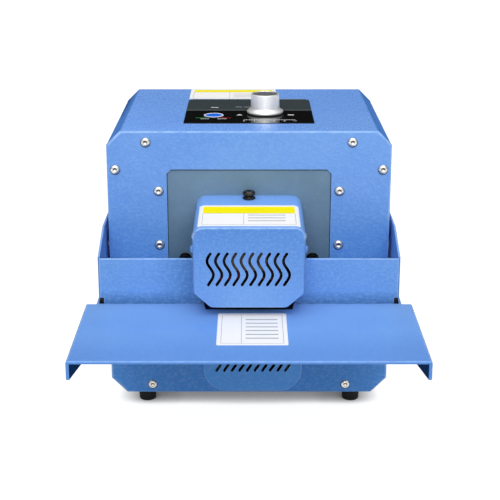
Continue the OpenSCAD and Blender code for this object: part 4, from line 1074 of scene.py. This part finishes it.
def guard_radius(middle, edge):
    """Edge radii of a guard: its upright fold and upper front rim are round, the rest softly broken."""
    front = same(middle.y, guard_low.y)
    if front and runs(edge, 2) and same(abs(middle.x), guard_high.x):
        return FOLD_RADIUS
    upper = middle.z > shelf_high.z + GUARD_UPPER
    return GUARD_RADIUS if front and upper and runs(edge, 0) else broken(edge)


for sheet_node, sheet_look, sheet_radius, sheet_dark in (
        ("front_panel", "panel_paint", panel_radius("front_panel"), 0.0),
        ("rear_panel", "case_paint", panel_radius("rear_panel"), 0.0),
        ("wrap_cover", "cover_paint", cover_radius, 0.0),
        ("base_pan", "case_paint", pan_radius, 0.0),
        ("hood", "hood_paint", slotted_radius("hood", HOOD_RADIUS), HOOD_DEPTH),
        ("work_shelf", "shelf_paint", shelf_radius, 0.0),
        ("left_guard", "guard_paint", guard_radius, 0.0),
        ("right_guard", "guard_paint", guard_radius, 0.0),
        ("vent_cover", "vent_paint", slotted_radius("vent_cover", VENT_RADIUS), VENT_DEPTH)):
    sheet_name = sheet_node + "_sheet"
    sheet_mesh = rounded_node(sheet_node, sheet_name, sheet_radius, sheet_dark)
    piece(sheet_name, sheet_mesh, sheet_look, "case_paint", stands_for=(sheet_node,))


# Controls

INK = 0.06 * MM


def control_knob():
    """Satin knob: flared skirt, straight grip, a rim round its sunk top and a pointer on it."""
    floor, crown = knob_low.z, knob_high.z
    skirt = (knob_high.x - knob_low.x) / 2
    grip = skirt - 4.25 * MM
    bore = [(0.0, crown - 3 * MM), (3.02 * MM, crown - 3 * MM), (3.02 * MM, floor + 5 * MM)]
    profile = filleted([(9.5 * MM, floor + 5 * MM), (9.5 * MM, floor), (skirt - 1.4 * MM, floor, 0.2 * MM),
                        (skirt, floor + 1.1 * MM, 0.4 * MM), (skirt, floor + 2.7 * MM, 1.3 * MM),
                        (skirt - 2.0 * MM, floor + 3.9 * MM, 0.8 * MM),
                        (grip + 0.4 * MM, floor + 5.4 * MM, 2.0 * MM), (grip - 0.3 * MM, crown, 0.9 * MM),
                        (grip - 1.5 * MM, crown, 0.25 * MM), (grip - 1.8 * MM, crown - 0.5 * MM, 0.2 * MM),
                        (0.0, crown - 0.5 * MM)], 6)
    knob = turned("turned_knob", bore + profile, knob_axis, 128)
    piece("turned_knob", knob, "knob_aluminium", body="knob", stands_for=("control_knob",))
    # A darker disc in the sunk top: painted reflection of dark surroundings.
    inset = filleted([(0.0, crown - 0.5 * MM), (grip - 2.0 * MM, crown - 0.5 * MM),
                      (grip - 2.0 * MM, crown - 0.3 * MM, 0.06 * MM), (0.0, crown - 0.3 * MM)])
    piece("knob_inset", turned("knob_inset", inset, knob_axis), "dark_aluminium", "knob_aluminium", "knob")
    long = 6 * MM
    spot = Vector((knob_axis.x, knob_axis.y + grip - 3.2 * MM - long / 2, crown - 0.3 * MM))
    outline = rounded_rectangle(0.9 * MM, long, 0.3 * MM)
    pointer = slab("knob_pointer", outline, INK, Matrix.Translation(spot), INK / 3)
    piece("knob_pointer", pointer, "black_plastic", body="knob")


def start_button():
    """Blue cap with a shallow dish, in a bright ring."""
    low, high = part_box("start_button")
    axis = (low + high) / 2
    wide = (high.x - low.x) / 2
    film = overlay_high.z
    crown = film + 0.5 * MM
    cap = filleted([(0.0, low.z), (3 * MM, low.z), (3 * MM, crown - 10 * MM), (wide, crown - 10 * MM),
                    (wide, crown - 0.4 * MM, 0.3 * MM), (wide - 1.4 * MM, crown, 0.4 * MM),
                    (wide * 0.4, crown - 0.2 * MM, 2 * MM), (0.0, crown - 0.25 * MM)], 5)
    piece("button_cap", turned("button_cap", cap, axis), "blue_plastic", body="button",
          stands_for=("start_button",))
    low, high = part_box("button_bezel")
    axis = (low + high) / 2
    rim = (high.x - low.x) / 2
    lip = film + 0.32 * MM
    bore = wide + 0.3 * MM
    collar = filleted([(bore, low.z), (rim - 1 * MM, low.z), (rim - 1 * MM, film), (rim, film, 0.1 * MM),
                       (rim - 0.3 * MM, lip, 0.1 * MM), (bore + 0.2 * MM, lip, 0.1 * MM),
                       (bore, lip - 0.4 * MM), (bore, low.z)], 5)
    piece("button_ring", turned("button_ring", collar, axis), "bezel", stands_for=("button_bezel",))


def thumbscrew():
    """Dark polished thumbscrew: a flared head with a hex socket, a neck and a collar."""
    low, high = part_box("hood_thumbscrew")
    axis = (low + high) / 2
    wide = (high.x - low.x) / 2
    crown = 7.6 * MM
    seat = high.z - crown
    tail = low.z - seat
    rim = wide - 0.1 * MM
    profile = filleted([(2.2 * MM, tail), (2.5 * MM, tail + 0.4 * MM), (2.5 * MM, 0.0),
                        (wide, 0.0, 0.2 * MM), (wide, 1.2 * MM, 0.45 * MM), (4.6 * MM, 1.6 * MM, 0.2 * MM),
                        (4.5 * MM, 2.1 * MM, 0.2 * MM), (rim, 4.0 * MM, 0.7 * MM),
                        (rim - 0.2 * MM, 6.5 * MM, 0.6 * MM),
                        (rim - 1.6 * MM, crown, 0.7 * MM), (3.4 * MM, crown)])
    rings = [[Vector((0.0, 0.0, tail))]] + [ring(*point) for point in profile]
    body = socket_head("flared_thumbscrew", rings, 4.0 * MM, crown, crown - 2.4 * MM)
    body.transform(Matrix.Translation((axis.x, axis.y, seat)))
    piece("flared_thumbscrew", body, "thumbscrew_metal", "black_steel", "thumbscrew", ("hood_thumbscrew",))


def printed(name, mesh, spot, look):
    """A printed mark lying on the control film at a spot."""
    mesh.transform(Matrix.Translation(spot + UP * INK / 2))
    piece(name, mesh, look, "overlay")


def flat_word(name, word, height, spot):
    """A short white word, centred on the spot."""
    font = bpy.data.curves.new(name, "FONT")
    font.body = word
    font.size = height
    font.align_x = "CENTER"
    font.align_y = "CENTER"
    font.extrude = INK / 2
    printed(name, plain_mesh(new_object(name + "_work", font), name), spot, "white_ink")


def film_bars(name, count, step, long, wide, spot, look="white_ink"):
    """Bars in a row, the first at the spot."""
    bars = bar_tree.mesh(name, look, Count=count, Step=(step, 0.0, 0.0), Length=long, Width=wide,
                         Height=INK)
    printed(name, bars, spot, look)


def film_marks():
    """Scale in front of the knob and the marks beside the button, printed on the control film."""
    film = overlay_high.z
    scale_y = overlay_low.y + 15 * MM
    tick = 2.6 * MM
    middle = (knob_low.x + knob_high.x) / 2 + 4 * MM
    film_bars("knob_ticks", 21, tick, 0.8 * MM, 2.2 * MM, Vector((middle - 10 * tick, scale_y, film)))
    film_bars("knob_scale", 1, tick, 20 * tick, 0.5 * MM, Vector((middle, scale_y + 1.6 * MM, film)))
    for number in range(0, 11, 2):
        spot = Vector((middle + (number - 5) * 2 * tick, scale_y - 4.6 * MM, film))
        flat_word(f"knob_number_{number}", str(number), 4.6 * MM, spot)
    low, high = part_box("button_bezel")
    button = (low + high) / 2
    for side, word, ink in ((-1, "ON", "green_ink"), (1, "OFF", "red_ink")):
        spot = Vector((button.x + side * 9 * MM, button.y - 18 * MM, film))
        flat_word("button_word_" + word.lower(), word, 5.6 * MM, spot)
        spot += Vector((side * 4 * MM, 5 * MM, 0.0))
        film_bars("button_bar_" + word.lower(), 1, tick, 11 * MM, 1.6 * MM, spot, ink)
    film_bars("button_title", 1, tick, 8 * MM, 2.6 * MM, Vector((button.x, overlay_split + 16 * MM, film)))
    film_bars("knob_title", 3, 9 * MM, 7 * MM, 2.0 * MM,
              Vector((knob_axis.x - 28 * MM, overlay_split + 18 * MM, film)), "grey_ink")
    arrow = [Vector((-3.2 * MM, -2.2 * MM)), Vector((3.2 * MM, -2.2 * MM)), Vector((0.0, 4.0 * MM))]
    lozenge = rounded_rectangle(6.5 * MM, 3.4 * MM, 1.2 * MM)
    for name, outline, side in (("knob_mark_low", arrow, -1), ("knob_mark_high", lozenge, 1)):
        spot = Vector((knob_axis.x + side * 27 * MM, knob_axis.y - 9 * MM, film))
        piece(name, slab(name, outline, INK, Matrix.Translation(spot), INK / 3), "white_ink", "overlay")


control_knob()
start_button()
thumbscrew()
film_marks()


# Moulded parts and the rear

# Field of the rear panel's air slots: half its width, its height over the panel's foot and how tall it is.
LOUVRES_HALF = 100 * MM
LOUVRES_LOW = 120 * MM
LOUVRES_TALL = 110 * MM


def soft_block(radius):
    """Edge radius for moulded parts: every edge that isn't very short is softly broken."""
    return lambda middle, edge: radius if edge.calc_length() > BLOCK_EDGE else 0.0


for block_node, block_body, block_radius in (
        ("power_inlet", "case", BLOCK_RADIUS), ("rocker_housing", "case", BLOCK_RADIUS),
        ("power_rocker", "rocker", BLOCK_RADIUS), ("fuse_holder", "case", BLOCK_RADIUS),
        ("control_overlay", "case", FILM_RADIUS), ("terminal_block", "case", BLOCK_RADIUS)):
    block_name = "soft_" + block_node
    piece(block_name, rounded_node(block_node, block_name, soft_block(block_radius)), slot_of[block_node],
          body=block_body, stands_for=(block_node,))


def rocker_marks():
    """White bar and ring on the two halves of the rocker's face."""
    bm = merged_node("power_rocker")
    faces = sorted((f for f in bm.faces if f.normal.y > 0.7), key=lambda f: -f.calc_area())[:2]
    across = Vector((1.0, 0.0, 0.0))
    for face in faces:
        turn = Matrix((across, face.normal.cross(across), face.normal)).transposed().to_4x4()
        place = Matrix.Translation(face.calc_center_median()) @ turn
        if face is faces[0]:
            mark = slab("rocker_bar", rounded_rectangle(0.9 * MM, 4.2 * MM, 0.3 * MM), INK, place, INK / 3)
        else:
            loop = [(1.5 * MM, 0.0), (2.2 * MM, 0.0), (2.2 * MM, INK), (1.5 * MM, INK), (1.5 * MM, 0.0)]
            mark = turned("rocker_ring", loop, count=40)
            mark.transform(place)
        piece(mark.name, mark, "white_ink", "overlay", "rocker")
    bm.free()


def louvre_beads():
    """Painted bead round every air slot of the rear panel."""
    bm = merged_node("rear_panel")
    panel_low, panel_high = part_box("rear_panel")
    low = panel_low.z + LOUVRES_LOW
    high = low + LOUVRES_TALL
    outer = panel_high.y
    wire = bmesh.new()
    made = {}
    for edge in bm.edges:
        ends = [v.co for v in edge.verts]
        flush = all(same(p.y, outer) for p in ends)
        if not flush or not all(abs(p.x) < LOUVRES_HALF and low <= p.z <= high for p in ends):
            continue
        for vert in edge.verts:
            if vert not in made:
                made[vert] = wire.verts.new(vert.co)
        wire.edges.new([made[vert] for vert in edge.verts])
    bm.free()
    mesh = mesh_of(wire, "louvre_wire")
    bead = 0.55 * MM
    mesh.transform(Matrix.Translation((0.0, -bead * 0.4, 0.0)))
    piece("louvre_beads", rim_tree.mesh("louvre_beads", "case_paint", mesh, Radius=bead), "case_paint")


rocker_marks()
louvre_beads()


# Cards on the case, the hood and the shelf

CARD = 0.15 * MM
CARD_LIFT = 0.02 * MM
CARD_MARGIN = 4.0 * MM
RULE_HALF = 0.2 * MM
HOOD_ROUND = 10 * MM


def card(name, surface, x_span, y_span, lift, thickness, look, corner=1.6 * MM, columns=72):
    """Thin card with round corners that follows surface(x, y), its lower face lift above it."""
    x0, x1 = x_span
    y0, y1 = y_span
    steps = 5
    ends = []
    for k in range(steps + 1):
        angle = math.radians(90.0 * k / steps)
        ends.append((corner * (1 - math.cos(angle)), corner * (1 - math.sin(angle))))
    rows = [(y0 + along, inset) for along, inset in ends]
    rows += [(y1 - along, inset) for along, inset in reversed(ends)]
    bm = bmesh.new()
    grids = []
    for level in (lift, lift + thickness):
        grid = []
        for y, inset in rows:
            xs = [x0 + inset + (x1 - x0 - 2 * inset) * i / columns for i in range(columns + 1)]
            grid.append([bm.verts.new((x, y, surface(x, y) + level)) for x in xs])
        grids.append(grid)
    low, top = grids
    for r in range(len(rows) - 1):
        for c in range(columns):
            bm.faces.new((top[r][c], top[r][c + 1], top[r + 1][c + 1], top[r + 1][c]))
            bm.faces.new((low[r + 1][c], low[r + 1][c + 1], low[r][c + 1], low[r][c]))
        for c in (0, columns):
            bm.faces.new((low[r][c], low[r + 1][c], top[r + 1][c], top[r][c]))
    for r in (0, len(rows) - 1):
        for c in range(columns):
            bm.faces.new((low[r][c], low[r][c + 1], top[r][c + 1], top[r][c]))
    bmesh.ops.recalc_face_normals(bm, faces=bm.faces)
    piece(name, smooth(mesh_of(bm, name), 40.0), look, "overlay")


def hood_roof(x, y):
    """Height of the hood's roof, which rises to the rear and rounds off at its sides."""
    share = (y - hood_low.y) / (hood_high.y - hood_low.y)
    past = max(0.0, abs(x) - (hood_high.x - HOOD_ROUND))
    return hood_front_top + HOOD_RISE * share - (HOOD_ROUND - math.sqrt(HOOD_ROUND ** 2 - past ** 2))


def flat_at(height):
    """A level surface for a card."""
    return lambda x, y: height


def ruled_card(name, surface, slope, x_span, y_span, band, lines):
    """White card with a coloured band along its rear, a thin frame and ruled lines in its right part."""
    card(name, surface, x_span, y_span, CARD_LIFT, CARD, "white_card")
    left_rule, right_rule = x_span[0] + CARD_MARGIN, x_span[1] - CARD_MARGIN
    rear = y_span[1] - CARD_MARGIN
    frame_y = (y_span[0] + CARD_MARGIN, rear - band)
    top = CARD_LIFT + CARD
    if band:
        card(name + "_band", surface, (left_rule, right_rule), (rear - band, rear), top, INK, "yellow_ink",
             0.3 * MM)
    count, pitch, long, wide, left, first = lines
    rows = bar_tree.mesh(name + "_lines", "grey_ink", Count=count, Step=(0.0, pitch, 0.0), Length=long,
                         Width=wide, Height=INK)
    x, y = left + long / 2, y_span[0] + first
    place = Matrix.Translation((x, y, surface(x, y) + top + INK / 2))
    rows.transform(place @ Matrix.Rotation(slope, 4, "X"))
    piece(name + "_lines", rows, "grey_ink", "overlay")
    for side, x in (("left", left_rule), ("middle", left - CARD_MARGIN), ("right", right_rule)):
        card(f"{name}_rule_{side}", surface, (x - RULE_HALF, x + RULE_HALF), frame_y, top, INK, "grey_ink",
             0.05 * MM, 1)
    for side, y in (("front", frame_y[0]), ("rear", frame_y[1])):
        card(f"{name}_rule_{side}", surface, (left_rule, right_rule), (y - RULE_HALF, y + RULE_HALF), top,
             INK, "grey_ink", 0.05 * MM)


front_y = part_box("front_panel")[0].y
hood_slope = math.atan2(HOOD_RISE, hood_high.y - hood_low.y)
# The lines of a card: count, pitch, length, width, left end and distance from the card's front.
ruled_card("hood_card", hood_roof, hood_slope, (-48.5 * MM, 48.5 * MM),
           (front_y - 86.9 * MM, front_y - 29 * MM), 19 * MM,
           (3, 8 * MM, 36 * MM, 1.6 * MM, -1 * MM, 14 * MM))
ruled_card("case_card", flat_at(case_high.z), 0.0, (-67 * MM, 31 * MM),
           (front_y + 163 * MM, front_y + 219 * MM), 13 * MM,
           (3, 8 * MM, 38 * MM, 1.6 * MM, -18 * MM, 12 * MM))
ruled_card("shelf_card", flat_at(shelf_high.z), 0.0, (-29.5 * MM, 35.5 * MM),
           (front_y - 161.8 * MM, front_y - 84.9 * MM), 0.0,
           (6, 9 * MM, 30 * MM, 1.8 * MM, -3 * MM, 16 * MM))


# Every CAD node gets its slot's finish, which shows where no piece stands for the node.
for node_name, node_object in frame["nodes"].items():
    node_object.data.materials.clear()
    node_object.data.materials.append(finish[slot_of[node_name]])


# Floor, light and camera


def pale_floor():
    """White floor that glows for the camera and keeps the shadow close beneath the object."""
    mesh = bpy.data.meshes.new("floor")
    far = FLOOR_FAR
    mesh.from_pydata([(-far, -far, 0), (far, -far, 0), (far, far, 0), (-far, far, 0)], [], [(0, 1, 2, 3)])
    material = bpy.data.materials.new("floor_white")
    material.use_nodes = True
    material.node_tree.nodes.clear()
    white = NodeTree(material.node_tree)
    rays = white.node("ShaderNodeLightPath").outputs
    seen = white.math("MAXIMUM", rays["Is Camera Ray"], rays["Is Glossy Ray"])
    seen = white.math("MAXIMUM", seen, rays["Is Transmission Ray"])
    near = white.node("ShaderNodeAmbientOcclusion", Distance=FLOOR_NEAR).outputs["AO"]
    share = white.math("MULTIPLY", seen, white.span(near, 0.0, 1.0, FLOOR_HIDDEN, FLOOR_OPEN))
    glow = white.node("ShaderNodeEmission", Strength=white.math("MULTIPLY", share, FLOOR_GLOW))
    matt = white.node("ShaderNodeBsdfDiffuse", Color=white.span(seen, FLOOR_WHITE, FLOOR_SEEN, 0.0, 1.0))
    both = white.node("ShaderNodeAddShader")
    white.feed(both.inputs[0], matt.outputs[0])
    white.feed(both.inputs[1], glow.outputs[0])
    white.node("ShaderNodeOutputMaterial", Surface=both.outputs[0])
    mesh.materials.append(material)
    new_object("floor", mesh)


def studio_sky():
    """White for the camera, dark low behind in reflections, a lower level with dim sides as light."""
    world = bpy.data.worlds.new("studio")
    bpy.context.scene.world = world
    world.use_nodes = True
    sky = NodeTree(world.node_tree)
    rays = sky.node("ShaderNodeLightPath").outputs
    direction = sky.node("ShaderNodeTexCoord").outputs["Generated"]
    toward = sky.node("ShaderNodeSeparateXYZ", Vector=direction).outputs
    sides = sky.span(sky.math("ABSOLUTE", toward["X"]), SKY_LIGHT, SKY_LIGHT * SKY_SIDES, *SKY_ASIDE)
    front = sky.math("MULTIPLY_ADD", toward["Y"], -SKY_FRONT, toward["Z"])
    mirrored = sky.span(front, SKY_HORIZON, 1.0, *SKY_FADE)
    levels = [sky.node("ShaderNodeMix", Factor=rays[ray], A=1.0, B=level).outputs["Result"]
              for ray, level in (("Is Diffuse Ray", sides), ("Is Glossy Ray", mirrored))]
    background = world.node_tree.nodes["Background"]
    background.inputs["Color"].default_value = (1, 1, 1, 1)
    sky.feed(background.inputs["Strength"], sky.math("MULTIPLY", *levels))


def soft_lamp(name, strength, elevation, azimuth, spread):
    """Wide distant lamp; azimuth 0 stands in front of the object."""
    lamp = bpy.data.lights.new(name, "SUN")
    lamp.energy = strength
    lamp.angle = math.radians(spread)
    new_object(name, lamp).rotation_euler = (math.radians(90 - elevation), 0.0, math.radians(azimuth))


def photo_camera():
    """Camera that stands where the photograph was taken."""
    data = bpy.data.cameras.new("camera")
    data.sensor_width = SENSOR
    data.lens = FOCAL_PIXELS / PHOTO_SIZE * SENSOR
    data.shift_x = (PHOTO_SIZE / 2 - CENTRE_COLUMN) / PHOTO_SIZE
    data.shift_y = (CENTRE_ROW - PHOTO_SIZE / 2) / PHOTO_SIZE
    camera = new_object("camera", data)
    camera.location = CAMERA_PLACE
    camera.rotation_euler = (math.pi / 2 - CAMERA_PITCH, 0.0, 0.0)
    bpy.context.scene.camera = camera


pale_floor()
studio_sky()
soft_lamp("key_lamp", KEY_LIGHT, 35.0, 0.0, 50.0)
soft_lamp("top_lamp", TOP_LIGHT, 80.0, 0.0, 60.0)
photo_camera()
bpy.context.scene.view_settings.view_transform = "Standard"
